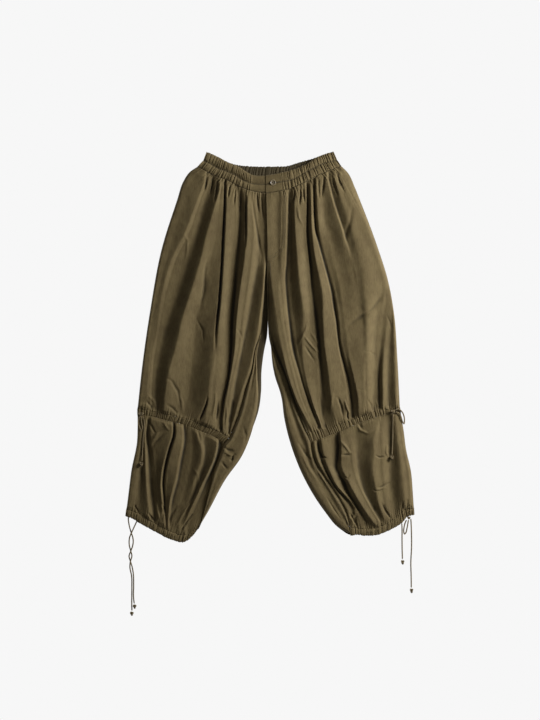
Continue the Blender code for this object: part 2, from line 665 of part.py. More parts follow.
def make_inner_legs(fronts, shins, cloth):
    """The inner leg panels, from the crotch to the hem, along the borders of the front and shin panels."""
    for side, folds, inner in (
        ("left", INNER_LEFT_FOLDS, INNER_LEFT),
        ("right", INNER_RIGHT_FOLDS, INNER_RIGHT),
    ):
        column = -1 if side == "left" else 0
        front, shin = fronts[side][:, column, :2], shins[side][:, column, :2]
        seam = np.concatenate([front[front[:, 1] < CROTCH_Y], shin])
        steps = np.linalg.norm(np.diff(seam, axis=0), axis=1)
        down = np.concatenate([[0], np.cumsum(steps)]) / steps.sum()
        silhouette = smooth_curve(inner, down)
        if side == "left":
            surface = strip_surface(folds, seam + (3 * SEAM_GAP, 0), silhouette, between=1)
        else:
            surface = strip_surface(folds, silhouette, seam - (3 * SEAM_GAP, 0), between=1)
        solid(f"inner_leg_{side}", surface, under_side(surface, CLOTH, FRONT_FLOOR), cloth)


def make_hems(cloth):
    """The hem tunnels, with the front gathered and the back flat on the surface."""
    for side, top, foot in (("left", HEM_TOP_LEFT, HEM_FOOT_LEFT), ("right", HEM_TOP_RIGHT, HEM_FOOT_RIGHT)):
        edges = [moved(top, 0, -SEAM_GAP), foot]
        gathered_band(f"hem_front_{side}", edges, "hem_front", cloth)


def make_backs(cloth):
    """The back panels, casings and hems, flat on the surface."""
    seat_left = moved(WAIST_SEAM_LEFT[:-1] + [(-4, 384)], BACK_INSET, -3 * SEAM_GAP)
    seat_right = moved([(-1, 384)] + WAIST_SEAM_RIGHT[1:], -BACK_INSET, -3 * SEAM_GAP)
    knee_left = [
        moved(KNEE_TOP_LEFT[:-1] + [(-48, -215)], BACK_INSET, 0),
        moved(KNEE_FOOT_LEFT[:-1] + [(-52, -228)], BACK_INSET, 0),
    ]
    knee_right = [
        moved([(48, -215)] + KNEE_TOP_RIGHT[1:], -BACK_INSET, 0),
        moved([(52, -228)] + KNEE_FOOT_RIGHT[1:], -BACK_INSET, 0),
    ]
    hem_left = [moved(HEM_TOP_LEFT, BACK_INSET, 0), moved(HEM_FOOT_LEFT, BACK_INSET, BACK_INSET)]
    hem_right = [
        moved([(171, -447)] + HEM_TOP_RIGHT, -BACK_INSET, 0),
        moved([(178, -455)] + HEM_FOOT_RIGHT, -BACK_INSET, BACK_INSET),
    ]
    inner_left = [seat_left[-1], (-4, 200), (-4, 80)] + BACK_INNER_LEFT
    inner_right = [seat_right[0], (-3, 200), (-3, 80)] + BACK_INNER_RIGHT
    outer_left, outer_right = moved(OUTER_LEFT, BACK_INSET, 0), moved(OUTER_RIGHT, -BACK_INSET, 0)
    shin_left, shin_right = moved(SHIN_LEFT, BACK_INSET, 0), moved(SHIN_RIGHT, -BACK_INSET, 0)
    flat_panel("back_left", seat_left, moved(knee_left[0], 0, SEAM_GAP), outer_left, inner_left, 15, cloth)
    flat_panel("back_right", seat_right, moved(knee_right[0], 0, SEAM_GAP), inner_right, outer_right, 15, cloth)
    for side, knee, hem, left, right in (
        ("left", knee_left, hem_left, shin_left, BACK_SHIN_LEFT),
        ("right", knee_right, hem_right, BACK_SHIN_RIGHT, shin_right),
    ):
        flat_strip(f"knee_back_{side}", moved(knee[0], 0, -SEAM_GAP), moved(knee[1], 0, SEAM_GAP), cloth)
        top, foot = moved(knee[1], 0, -SEAM_GAP), moved(hem[0], 0, SEAM_GAP)
        flat_panel(f"back_lower_{side}", top, foot, left, right, 9, cloth)
        flat_strip(f"hem_back_{side}", moved(hem[0], 0, -SEAM_GAP), hem[1], cloth)


def flat_strip(name, top, foot, finish):
    """A casing's back, with straight ends."""
    flat_panel(name, top, foot, [top[0], foot[0]], [top[-1], foot[-1]], 2, finish)


def make_cord(name, route, finish):
    """A round cord along its route, with a point every three diameters of a smooth curve."""
    length = np.linalg.norm(np.diff(np.array(route), axis=0), axis=1).sum()
    count = max(6, round(length / (3 * CORD)) + 1)
    points = smooth_curve(route, np.linspace(0, 1, count)) * MM
    curve = bpy.data.curves.new(name, "CURVE")
    curve.dimensions = "3D"
    curve.bevel_depth = CORD / 2 * MM
    curve.bevel_resolution = 2
    curve.use_fill_caps = True
    spline = curve.splines.new("POLY")
    spline.points.add(count - 1)
    spline.points.foreach_set("co", np.column_stack([points, np.ones(count)]).ravel())
    curve.materials.append(finish)
    obj = bpy.data.objects.new(name, curve)
    bpy.context.scene.collection.objects.link(obj)


def make_knot(name, middle, half, finish):
    """A tight knot, as a small round solid, a little squashed."""
    bpy.ops.mesh.primitive_uv_sphere_add(segments=10, ring_count=6, radius=MM)
    knot = bpy.context.object
    knot.name = name
    knot.data.transform(((half[0], 0, 0, 0), (0, half[1], 0, 0), (0, 0, half[2], 0), (0, 0, 0, 1)))
    knot.location = tuple(value * MM for value in middle)
    knot.data.materials.append(finish)
    knot.data.shade_smooth()


def main():
    clear_scene()
    cloth = material("Olive cotton twill", (0.110, 0.082, 0.040), 0.75)
    cord = material("Braided cord", (0.075, 0.055, 0.028), 0.7)
    horn = material("Button horn", (0.085, 0.068, 0.045), 0.35)
    make_waistband(cloth)
    fronts = make_fronts(cloth)
    make_fly(fronts["right"], cloth)
    make_button(horn)
    make_knee_casings(cloth)
    shins = make_shins(cloth)
    make_inner_legs(fronts, shins, cloth)
    make_hems(cloth)
    make_backs(cloth)
    for name, route in CORD_ROUTES.items():
        make_cord(name, route, cord)
    for name, (middle, half) in KNOTS.items():
        make_knot(name, middle, half, cord)


main()
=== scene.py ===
"""Wide gathered trousers laid flat, front up: the cloth, its folds and gathers, the sewing and the drawcords.

All sizes in the tables are millimetres, apart from the fold tables. Those are read from a layout sheet ruled
in 2.5 mm squares: x is counted from its left edge and y from its top edge, and SHEET_MIDDLE is the square
over the frame's origin. Left and right are as they are seen from above.
"""

import math

import bpy
import numpy as np
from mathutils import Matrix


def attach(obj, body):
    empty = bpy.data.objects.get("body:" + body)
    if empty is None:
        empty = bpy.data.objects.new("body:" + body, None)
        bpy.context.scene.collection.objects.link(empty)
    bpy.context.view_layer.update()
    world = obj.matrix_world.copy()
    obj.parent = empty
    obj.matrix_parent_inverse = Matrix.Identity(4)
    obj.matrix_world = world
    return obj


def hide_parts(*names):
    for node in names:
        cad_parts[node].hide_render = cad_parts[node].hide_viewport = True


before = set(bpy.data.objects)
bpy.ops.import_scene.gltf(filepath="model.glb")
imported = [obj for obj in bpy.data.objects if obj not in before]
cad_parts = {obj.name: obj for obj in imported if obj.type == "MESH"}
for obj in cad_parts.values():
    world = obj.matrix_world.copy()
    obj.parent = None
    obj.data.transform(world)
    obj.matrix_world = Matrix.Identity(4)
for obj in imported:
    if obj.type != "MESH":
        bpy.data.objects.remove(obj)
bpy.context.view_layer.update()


# Camera, floor and lights.
# The camera looks straight down on the laid-out trousers. A soft key light stands low on the right and a
# little above the waistband's side, so that each lengthwise fold has a light and a dark flank.
MM = 0.001


def linear(hex_colour):
    """A screen colour such as "95825b" as linear red, green, blue and alpha."""
    screen = [int(hex_colour[k : k + 2], 16) / 255 for k in (0, 2, 4)]
    return (*[c / 12.92 if c <= 0.04045 else ((c + 0.055) / 1.055) ** 2.4 for c in screen], 1)


def add_node(material, kind, sources=None, **settings):
    """Adds one shader node. sources maps its inputs to outputs or values, and settings are its own fields."""
    made = material.node_tree.nodes.new(kind)
    for field, value in settings.items():
        setattr(made, field, value)
    for socket, source in (sources or {}).items():
        if isinstance(source, bpy.types.NodeSocket):
            material.node_tree.links.new(source, made.inputs[socket])
        else:
            made.inputs[socket].default_value = source
    return made


camera_data = bpy.data.cameras.new("camera")
camera_data.lens = 85
camera_data.sensor_width = 36
camera = bpy.data.objects.new("camera", camera_data)
camera.location = (1.25 * MM, -31.25 * MM, 4.25)
bpy.context.scene.collection.objects.link(camera)
bpy.context.scene.camera = camera
bpy.context.scene.view_settings.view_transform = "Standard"

paper = bpy.data.materials.new("pale_paper")
paper.use_nodes = True
paper.node_tree.nodes.clear()
glow = add_node(paper, "ShaderNodeEmission", {"Color": linear("f7f7f7"), "Strength": 1.0})
add_node(paper, "ShaderNodeOutputMaterial", {"Surface": glow.outputs[0]})
FLOOR_REACH = 15
FLOOR_Z = -0.0008
floor_mesh = bpy.data.meshes.new("floor")
floor_corners = [(x * FLOOR_REACH, y * FLOOR_REACH, FLOOR_Z) for x, y in ((-1, -1), (1, -1), (1, 1), (-1, 1))]
floor_mesh.from_pydata(floor_corners, [], [(0, 1, 2, 3)])
floor_mesh.materials.append(paper)
floor = bpy.data.objects.new("floor", floor_mesh)
bpy.context.scene.collection.objects.link(floor)

for name, size, watts, azimuth, elevation, distance in (
    ("key", 0.8, 66, 22, 23, 2.0),
    ("top_fill", 2.5, 9, 60, 72, 3.6),
):
    lamp = bpy.data.lights.new(name, "AREA")
    lamp.shape = "SQUARE"
    lamp.size = size
    lamp.energy = watts
    stand = bpy.data.objects.new(name, lamp)
    turn, rise = math.radians(azimuth), math.radians(elevation)
    stand.location = (
        distance * math.cos(rise) * math.cos(turn),
        distance * math.cos(rise) * math.sin(turn),
        distance * math.sin(rise),
    )
    stand.rotation_euler = (math.pi / 2 - rise, 0, turn + math.pi / 2)
    bpy.context.scene.collection.objects.link(stand)

room = bpy.data.worlds.new("room")
room.use_nodes = True
room.node_tree.nodes["Background"].inputs["Color"].default_value = (1, 1, 1, 1)
room.node_tree.nodes["Background"].inputs["Strength"].default_value = 0.105
bpy.context.scene.world = room


# Drawcords.
# Round braided cotton cord, 3.2 mm thick. The knee cords leave their casings beside the side seams and are
# tied in a small bow, and the hem cords hang out of the hems. Each free end is stopped by an overhand knot.
CORD = 3.2

braid = bpy.data.materials.new("braided_cord")
braid.use_nodes = True
shader = braid.node_tree.nodes["Principled BSDF"]
shader.inputs["Roughness"].default_value = 0.75
shader.inputs["Sheen Weight"].default_value = 0.15
turns = add_node(braid, "ShaderNodeUVMap", uv_map="along")
lay = add_node(
    braid,
    "ShaderNodeTexWave",
    {"Vector": turns.outputs[0], "Scale": 2.4, "Distortion": 0.6},
    bands_direction="DIAGONAL",
)
ply = add_node(braid, "ShaderNodeMixRGB", {0: lay.outputs["Fac"], 1: linear("4c4028"), 2: linear("7d6c47")})
braid.node_tree.links.new(ply.outputs[0], shader.inputs["Base Color"])
raised = add_node(
    braid,
    "ShaderNodeBump",
    {"Height": lay.outputs["Fac"], "Strength": 0.5, "Distance": 0.0004},
)
braid.node_tree.links.new(raised.outputs[0], shader.inputs["Normal"])


def through(at, values, where):
    """Cubic through values at rising places, level past both ends. Its slope at a place is that of its two
    neighbours' line."""
    at, values = np.asarray(at, float), np.asarray(values, float)
    slopes = np.gradient(values, at, axis=0)
    where = np.clip(where, at[0], at[-1])
    start = np.clip(np.searchsorted(at, where, side="right") - 1, 0, len(at) - 2)
    span = at[start + 1] - at[start]
    t = (where - at[start]) / span
    if values.ndim > 1:
        span, t = span[..., None], t[..., None]
    lean = (t**3 - 2 * t**2 + t) * slopes[start] * span + (t**3 - t**2) * slopes[start + 1] * span
    return values[start] + (3 * t**2 - 2 * t**3) * (values[start + 1] - values[start]) + lean


def smooth_curve(points, shares):
    """A smooth curve through points, at shares of its length."""
    points = np.asarray(points, float)
    steps = np.linalg.norm(np.diff(points, axis=0), axis=1)
    return through(np.concatenate([[0], np.cumsum(steps)]) / steps.sum(), points, np.asarray(shares, float))


def put_mesh(name, points, faces, finish, relief=None, uv=None):
    """A mesh object, shaded smooth, from points in millimetres and a list of each face's corners. relief is a
    height for each point, from which the cloth's colour paints shade in the creases, and uv its place along
    and round a cord."""
    mesh = bpy.data.meshes.new(name)
    mesh.from_pydata((points * MM).tolist(), [], faces)
    mesh.materials.append(finish)
    mesh.shade_smooth()
    if relief is not None:
        heights = mesh.attributes.new("relief", "FLOAT", "POINT")
        heights.data.foreach_set("value", np.asarray(relief, np.float32))
    if uv is not None:
        layer = mesh.uv_layers.new(name="along")
        corners = np.zeros(len(mesh.loops), np.int32)
        mesh.loops.foreach_get("vertex_index", corners)
        layer.data.foreach_set("uv", np.asarray(uv, np.float32)[corners].ravel())
    made = bpy.data.objects.new(name, mesh)
    bpy.context.scene.collection.objects.link(made)
    return made


def tube(name, centre, radius, finish, closed=False, around=12):
    """A round tube along a path: at each point a circle across the path's direction, and at each end of an
    open one two smaller circles that round it off."""
    centre = np.asarray(centre, float)
    if closed:
        ahead = np.roll(centre, -1, axis=0) - np.roll(centre, 1, axis=0)
    else:
        ahead = np.gradient(centre, axis=0)
    ahead /= np.linalg.norm(ahead, axis=1, keepdims=True)
    side = np.cross(ahead, (0.02, 0.03, 1.0))
    side /= np.linalg.norm(side, axis=1, keepdims=True)
    rise = np.cross(side, ahead)
    size = np.full(len(centre), radius, float)
    if not closed:
        size[[0, -1]] = 0.25 * radius
        size[[1, -2]] = 0.8 * radius
    angle = np.linspace(0, math.tau, around, endpoint=False)
    ring = np.cos(angle)[None, :, None] * side[:, None] + np.sin(angle)[None, :, None] * rise[:, None]
    points = centre[:, None] + ring * size[:, None, None]
    rows = len(centre)
    number = np.arange(rows * around).reshape(rows, around)
    after = np.roll(number, -1, axis=1)
    above = np.roll(number, -1, axis=0)
    above_after = np.roll(above, -1, axis=1)
    keep = slice(None) if closed else slice(0, rows - 1)
    faces = np.stack([number[keep], after[keep], above_after[keep], above[keep]], axis=-1)
    faces = faces.reshape(-1, 4).tolist()
    if not closed:
        faces += [number[0, ::-1].tolist(), number[-1].tolist()]
    steps = np.linalg.norm(np.diff(centre, axis=0, prepend=centre[:1]), axis=1)
    along = np.repeat(np.cumsum(steps) / (4 * radius), around)
    uv = np.column_stack([np.tile(np.arange(around) / around, rows), along])
    return put_mesh(name, points.reshape(-1, 3), faces, finish, uv=uv)


# Route of each cord's middle in millimetres, what its far end is, and the knots that are on it.
CORD_ROUTES = {
    "hem_cord_left_a": (
        [
            (-352.7, -423.6, 1.8), (-352.7, -430, 1.8), (-351.5, -439, 1.8), (-349, -451, 1.8),
            (-345.2, -463.8, 1.8), (-341.8, -474, 1.8), (-340.5, -484, 1.8), (-342, -496, 3.8),
            (-346.5, -508.8, 5.8), (-350.7, -521, 3.8), (-347.7, -533.8, 1.8), (-343.6, -547, 1.8),
            (-340.6, -563, 1.8), (-339.5, -594, 1.8), (-339.8, -624, 1.8), (-338, -640.5, 1.9),
        ],
        "knot",
        ["hem_knot_left_a"],
    ),
    "hem_cord_left_b": (
        [
            (-331.4, -433.7, 1.8), (-335, -441.6, 1.9), (-340.2, -453, 4.6), (-345.2, -463.8, 5.8),
            (-349.2, -474, 4.6), (-350.8, -484, 1.8), (-350, -496, 1.8), (-346.5, -508.8, 1.8),
            (-343.8, -521, 3.4), (-347.2, -534, 5.8), (-348.6, -548, 3.8), (-344.8, -570, 1.8),
            (-344, -606, 1.8), (-344.2, -641, 1.8), (-343.8, -658, 1.9),
        ],
        "knot",
        ["hem_knot_left_b"],
    ),
    "hem_cord_right_a": (
        [
            (353.0, -427.4, 2.6), (353.6, -435, 1.8), (354.5, -456, 1.8), (355, -496, 1.8),
            (353.2, -538, 1.8), (354, -573, 1.8), (354.3, -600.5, 1.9),
        ],
        "knot",
        ["hem_knot_right_a", "hem_bow_right"],
    ),
    "hem_cord_right_b": (
        [
            (330.6, -439.2, 1.8), (331.2, -452, 1.8), (331.2, -476, 1.8), (331.5, -506, 1.8),
            (332.2, -529.5, 1.9),
        ],
        "knot",
        ["hem_knot_right_b"],
    ),
    "hem_loop_right": (
        [
            (347.4, -430.0, 2.8), (345.8, -440, 1.9), (343.6, -452, 1.8), (340.6, -463, 1.8),
            (337.6, -466.2, 1.8), (335.6, -461, 1.8), (336.2, -450, 1.8), (338.4, -440, 1.8),
            (342.4, -430.4, 2.6),
        ],
        "object",
        [],
    ),
    "knee_cord_left": (
        [
            (-315.4, -171.4, 11), (-312.8, -185, 8.8), (-313.6, -210, 8.4), (-316, -232, 8.6),
            (-317, -255, 8.6), (-318.6, -284, 10.8),
        ],
        "knot",
        ["knee_knot_left", "knee_bow_left"],
    ),
    "knee_loop_left": (
        [
            (-325.0, -171.4, 11), (-327.2, -186, 9.5), (-324.6, -199, 9.6), (-320.4, -207, 9.4),
            (-317.6, -201, 9), (-319.4, -188, 9.5), (-321.2, -171.8, 11),
        ],
        "object",
        [],
    ),
    "knee_cord_right": (
        [
            (307.6, -164.9, 11.2), (307.6, -178, 8.8), (307.3, -200, 8.2), (307, -221, 8),
            (306.4, -250, 7.8), (305.4, -268, 7.8),
        ],
        "knot",
        ["knee_knot_right", "knee_bow_right"],
    ),
    "knee_loop_right": (
        [
            (312.2, -156.6, 12), (320.5, -153.4, 11.6), (330.5, -160.5, 8), (336.8, -176, 3.2),
            (335.8, -190.5, 3.8), (331.6, -184, 7.6), (326.8, -170, 10), (320.8, -162.6, 11),
            (313.5, -161.4, 12),
        ],
        "object",
        [],
    ),
}
KNOTS = {
    "hem_knot_left_a": ((-336.8, -646.5, 4.4), (4.6, 6.2, 4.2)),
    "hem_knot_left_b": ((-343.8, -664.3, 4.4), (4.6, 6.2, 4.2)),
    "hem_bow_right": ((348.0, -425.3, 4.6), (4.6, 3.9, 4.2)),
    "hem_knot_right_a": ((354.8, -607.05, 4.4), (4.4, 6.6, 4.2)),
    "hem_knot_right_b": ((332.6, -535.9, 4.4), (4.4, 6.4, 4.2)),
    "knee_bow_left": ((-320.4, -166.0, 11.6), (7.6, 4.4, 3.8)),
    "knee_knot_left": ((-319.4, -291.0, 12.0), (4.2, 6.4, 4.0)),
    "knee_bow_right": ((307.6, -160.0, 12.8), (5.4, 4.4, 3.8)),
    "knee_knot_right": ((305.6, -274.8, 9.2), (4.2, 6.4, 4.0)),
}


KNOT_RADIUS = 1.45


def overhand(middle, half):
    """An overhand knot drawn tight: a trefoil curve, scaled into the ellipsoid with these half sizes, less
    the cord's own radius in the knot."""
    t = np.linspace(0, math.tau, 60, endpoint=False)
    curve = np.column_stack(
        [np.sin(t) + 2 * np.sin(2 * t), np.cos(t) - 2 * np.cos(2 * t), -1.2 * np.sin(3 * t)]
    )
    curve /= np.abs(curve).max(axis=0)
    return np.array(middle) + curve * (np.array(half) - KNOT_RADIUS)


for name, (middle, half) in KNOTS.items():
    knot = tube(name + "_tied", overhand(middle, half), KNOT_RADIUS, braid, closed=True, around=10)
    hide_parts(name)
    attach(knot, "root")

for name, (route, far_end, knots) in CORD_ROUTES.items():
    length = np.linalg.norm(np.diff(np.array(route), axis=0), axis=1).sum()
    path = smooth_curve(route, np.linspace(0, 1, round(length / 1.6)))
    length = np.linalg.norm(np.diff(path, axis=0), axis=1).sum()
    drawcord = tube(name + "_braid", path, CORD / 2, braid)
    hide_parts(name)
    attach(drawcord, "root")


# Back panels, with their knee casings and hems.
# Olive cotton twill, garment washed. The backs lie flat on the surface under the front, and show only in the
# gap between the legs and at the waist, in a darker copy of the twill that paints their shade.
def twill(name, dark, light, crevice):
    """Washed cotton twill: fine diagonal ribs, slubs along the grain, a mottled dye, and painted shade: a
    darker tone down in the creases than on the folds' tops, which the relief attribute tells."""
    made = bpy.data.materials.new(name)
    made.use_nodes = True
    shader = made.node_tree.nodes["Principled BSDF"]
    shader.inputs["Roughness"].default_value = 0.8
    shader.inputs["Specular IOR Level"].default_value = 0.3
    shader.inputs["Sheen Weight"].default_value = 0.12
    shader.inputs["Sheen Roughness"].default_value = 0.4
    place = add_node(made, "ShaderNodeTexCoord").outputs["Object"]
    grain = add_node(made, "ShaderNodeMapping", {"Vector": place, "Scale": (520, 75, 520)})
    slub = add_node(made, "ShaderNodeTexNoise", {"Vector": grain.outputs[0], "Scale": 1, "Detail": 3})
    mottle = add_node(
        made, "ShaderNodeTexNoise", {"Vector": place, "Scale": 34, "Detail": 4, "Roughness": 0.6}
    )
    slub, mottle = slub.outputs["Fac"], mottle.outputs["Fac"]
    both = add_node(made, "ShaderNodeMath", {0: slub, 1: mottle}, operation="ADD").outputs[0]
    tone = add_node(made, "ShaderNodeMapRange", {"Value": both, "From Min": 0.72, "From Max": 1.28})
    cloth = add_node(made, "ShaderNodeMixRGB", {0: tone.outputs[0], 1: linear(dark), 2: linear(light)})
    # Painted shade: where the relief attribute is low, down in the creases, the colour goes over to the
    # crevice colour.
    relief = add_node(made, "ShaderNodeAttribute", attribute_name="relief").outputs["Fac"]
    depth = add_node(made, "ShaderNodeMapRange", {"Value": relief, "From Min": -4.0, "From Max": -0.6})
    crease_shaded_cloth = add_node(made, "ShaderNodeMixRGB", {0: depth.outputs[0], 1: linear(crevice), 2: cloth.outputs[0]})
    made.node_tree.links.new(crease_shaded_cloth.outputs[0], shader.inputs["Base Color"])
    ribs = add_node(made, "ShaderNodeTexWave", {"Vector": place, "Scale": 400}, bands_direction="DIAGONAL")
    weave = add_node(made, "ShaderNodeMath", {0: ribs.outputs["Fac"], 1: slub}, operation="ADD").outputs[0]
    raised = add_node(made, "ShaderNodeBump", {"Height": weave, "Strength": 0.35, "Distance": 0.0003})
    made.node_tree.links.new(raised.outputs[0], shader.inputs["Normal"])
    return made


# The last colour of each twill is the painted shade down in its creases.
olive = twill("olive_twill", "5b4d30", "6c5e3d", "2a2312")
# A darker copy of the olive twill, as painted shade for the garment's inside: the backs and the back
# waistband.
shaded_twill = twill("twill_painted_shade", "352d19", "473d26", "15110a")

# The gap of a front piece from its seam, under 0 because the pieces overlap there, and that of a back piece.
GAP = -0.4
BACK_GAP = 0.15
# The least height of a front piece's underside, which clears the backs.
BACKS_TOP = 1.9

# Edges and seams seen from above, as x and y in millimetres. Those across the garment run from left to right,
# and those along it run from the waist down.
WAIST_TOP_LEFT = [
    (-157, 488), (-144, 483), (-125, 474), (-107, 464), (-76, 451), (-58, 439), (-46, 432), (-9, 429),
]
WAIST_MID_LEFT = [
    (-165, 467), (-148, 459), (-129, 448), (-107, 440), (-85, 430), (-70, 420), (-51, 411), (-9, 406),
]
WAIST_SEAM_LEFT = [
    (-180, 451), (-161, 440), (-135, 427), (-105, 416), (-90, 408), (-59, 394), (-40, 389), (-9, 385),
]
WAIST_TOP_RIGHT = [
    (-9, 430), (16, 434), (43, 440), (60, 445), (78, 452), (97, 461), (111, 471), (131, 480), (160, 489),
]
WAIST_MID_RIGHT = [
    (-9, 407), (29, 413), (54, 418), (70, 425), (95, 440), (111, 448), (124, 455), (146, 461), (169, 468),
]
WAIST_SEAM_RIGHT = [
    (-9, 384), (33, 391), (50, 395), (70, 403), (86, 410), (104, 419), (124, 430), (142, 437), (180, 452),
]
WAIST_TOP_BACK = [
    (-156, 486), (-105, 462), (-75, 455), (-33, 452), (20, 452), (43, 453), (70, 461), (109, 472),
    (159, 487),
]
OUTER_LEFT = [
    (-180, 451), (-200, 438), (-216, 414), (-231, 369), (-269, 249), (-299, 89), (-319, -51), (-330, -153),
]
OUTER_RIGHT = [
    (180, 452), (195, 438), (214, 399), (226, 369), (271, 249), (296, 169), (311, 89), (320, -30),
    (326, -151),
]
CENTRE_LEFT = [(-9, 385), (-7, 300), (-6, 226), (-10, 190), (-16, 96), (-26, 24), (-36, -2)]
LEG_SEAM_LEFT = [(-36, -2), (-44, -51), (-61, -106), (-79, -169), (-101, -224)]
CENTRE_RIGHT = [(-9, 384), (-6, 226), (-6, 181), (-4, 100), (-1, 36)]
LEG_SEAM_RIGHT = [(-1, 36), (10, 0), (22, -30), (36, -60), (58, -124), (79, -175), (95, -214)]
KNEE_TOP_LEFT = [
    (-330, -153), (-297, -158), (-266, -165), (-219, -176), (-196, -182), (-178, -191), (-136, -206),
    (-101, -224),
]
KNEE_FOOT_LEFT = [
    (-330, -168), (-297, -172), (-266, -180), (-219, -192), (-196, -199), (-178, -207), (-141, -222),
    (-115, -238),
]
KNEE_TOP_RIGHT = [
    (95, -214), (115, -208), (153, -203), (175, -192), (219, -177), (241, -168), (296, -154), (326, -151),
]
KNEE_FOOT_RIGHT = [
    (104, -236), (131, -227), (153, -218), (175, -211), (219, -191), (241, -183), (296, -166), (328, -162),
]
SHIN_LEFT = [
    (-330, -168), (-330, -200), (-331, -231), (-346, -311), (-351, -351), (-356, -391), (-358, -404),
]
SHIN_RIGHT = [(328, -162), (336, -211), (341, -251), (354, -311), (359, -371), (361, -401)]
SHIN_SEAM_LEFT = [
    (-115, -238), (-128, -275), (-140, -306), (-152, -352), (-165, -407), (-172, -435), (-181, -453),
]
SHIN_SEAM_RIGHT = [
    (104, -236), (107, -256), (115, -284), (134, -316), (153, -345), (173, -376), (191, -410), (202, -448),
]
HEM_TOP_LEFT = [
    (-358, -404), (-340, -409), (-308, -427), (-271, -447), (-240, -463), (-213, -468), (-180, -454),
]
HEM_FOOT_LEFT = [
    (-360, -420), (-346, -425), (-317, -442), (-280, -462), (-245, -479), (-212, -485), (-190, -468),
]
HEM_TOP_RIGHT = [
    (202, -448), (218, -451), (240, -453), (262, -452), (292, -440), (320, -421), (338, -404), (361, -401),
]
HEM_FOOT_RIGHT = [
    (202, -469), (217, -467), (241, -469), (265, -468), (300, -455), (331, -437), (346, -421), (362, -417),
]
INNER_LEFT = [
    (-24, 24), (-31, -19), (-30, -71), (-28, -131), (-39, -191), (-69, -271), (-111, -331), (-154, -411),
    (-177, -450),
]
INNER_RIGHT = [
    (2, 24), (9, -51), (31, -131), (36, -171), (56, -251), (89, -331), (139, -411), (171, -449),
    (200, -466),
]
BACK_INNER_LEFT = [
    (-4, 382), (-4, 200), (-4, 80), (-6, 30), (-14, -11), (-20, -60), (-21, -111), (-26, -151),
    (-48, -215),
]
BACK_INNER_RIGHT = [
    (-2, 382), (-3, 200), (-3, 80), (-2, 30), (6, -11), (11, -61), (32, -131), (37, -171), (48, -215),
]
BACK_SHIN_LEFT = [(-52, -228), (-70, -271), (-112, -331), (-155, -411), (-183, -452)]
BACK_SHIN_RIGHT = [(52, -228), (58, -251), (90, -331), (140, -411), (171, -447)]


def moved(points, dx, dy):
    """The same points, dx further to the right and dy nearer the waist."""
    return [(x + dx, y + dy) for x, y in points]


def patch(top, foot, left, right, rows, columns):
    """Plan of a panel inside four curved edges: the mean of its two pairs of edges, less that of its corners.
    Returns the plan, the shares across and the shares down."""
    down, across = np.meshgrid(np.linspace(0, 1, rows), np.linspace(0, 1, columns), indexing="ij")
    left, right = [top[0], *left[1:-1], foot[0]], [top[-1], *right[1:-1], foot[-1]]
    u, v = across[..., None], down[..., None]
    corners = (
        (1 - u) * (1 - v) * np.array(top[0], float)
        + u * (1 - v) * np.array(top[-1], float)
        + (1 - u) * v * np.array(foot[0], float)
        + u * v * np.array(foot[-1], float)
    )
    edges = (1 - v) * smooth_curve(top, across) + v * smooth_curve(foot, across)
    sides = (1 - u) * smooth_curve(left, down) + u * smooth_curve(right, down)
    return edges + sides - corners, across, down


def mean_around(field, reach):
    """Mean of a grid over a square of points around each, its edge rows repeated outside it."""
    for axis in (0, 1):
        size = field.shape[axis]
        border = np.pad(field, [(reach, reach) if axis == a else (0, 0) for a in (0, 1)], mode="edge")
        shifts = [np.take(border, range(k, k + size), axis=axis) for k in range(2 * reach + 1)]
        field = sum(shifts) / (2 * reach + 1)
    return field


def cloth_shell(name, plan, height, finish, thick=1.1, under=None, reach=7):
    """A thin closed wall of cloth: its top is the plan at its heights. Its underside is the top moved in
    along its normals, no lower than BACKS_TOP, or else it lies at the heights in under. The relief attribute
    is the height over its mean within reach grid points."""
    top = np.dstack([plan, height])
    normal = np.cross(np.gradient(top, axis=0), np.gradient(top, axis=1))
    normal /= np.linalg.norm(normal, axis=2, keepdims=True)
    normal *= np.sign(normal[..., 2:])
    normal[[0, -1]] = (0, 0, 1)
    normal[:, [0, -1]] = (0, 0, 1)
    lower = top - normal * thick
    lower[..., 2] = np.maximum(lower[..., 2], BACKS_TOP) if under is None else under
    lower[..., 2] = np.minimum(lower[..., 2], top[..., 2] - 0.2)
    rows, columns = height.shape
    count = rows * columns
    number = np.arange(count).reshape(rows, columns)
    a, b, c, d = number[:-1, :-1], number[:-1, 1:], number[1:, 1:], number[1:, :-1]
    faces = np.stack([a, d, c, b], axis=-1).reshape(-1, 4)
    border = np.concatenate([number[0, :-1], number[:-1, -1], number[-1, :0:-1], number[:0:-1, 0]])
    after = np.roll(border, -1)
    rim = np.stack([border, after, after + count, border + count], axis=-1)
    faces = np.concatenate([faces, faces[:, ::-1] + count, rim])
    relief = height - mean_around(height, reach)
    relief = np.concatenate([relief.ravel(), relief.ravel()])
    points = np.concatenate([top.reshape(-1, 3), lower.reshape(-1, 3)])
    made = put_mesh(name, points, faces.tolist(), finish, relief)
    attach(made, "root")
    return made, top


def soft_noise(x, y, size, seed):
    """Smooth random heights from -1 to 1: random values on a square lattice of this size, blended between its
    corners with an S-shaped weight."""
    lattice = np.random.default_rng(seed).uniform(-1, 1, (64, 64))
    x, y = x / size + 31.7, y / size + 17.3
    i, j = np.floor(x).astype(int), np.floor(y).astype(int)
    s, t = x - i, y - j
    s, t = s * s * (3 - 2 * s), t * t * (3 - 2 * t)
    corner = [[lattice[(i + a) % 64, (j + b) % 64] for b in (0, 1)] for a in (0, 1)]
    near, far = (corner[0][b] * (1 - s) + corner[1][b] * s for b in (0, 1))
    return near * (1 - t) + far * t


def back_plate(name, node, top, foot, left, right, rows, columns):
    """A flat back panel with a slight ripple on its upper side."""
    plan, across, down = patch(top, foot, left, right, rows, columns)
    height = 1.35 + 0.12 * soft_noise(plan[..., 0], plan[..., 1], 30, 3)
    # The backs take the darker twill copy, which paints their shade.
    made, _ = cloth_shell(name, plan, height, shaded_twill, under=0.0)
    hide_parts(node)
    return made


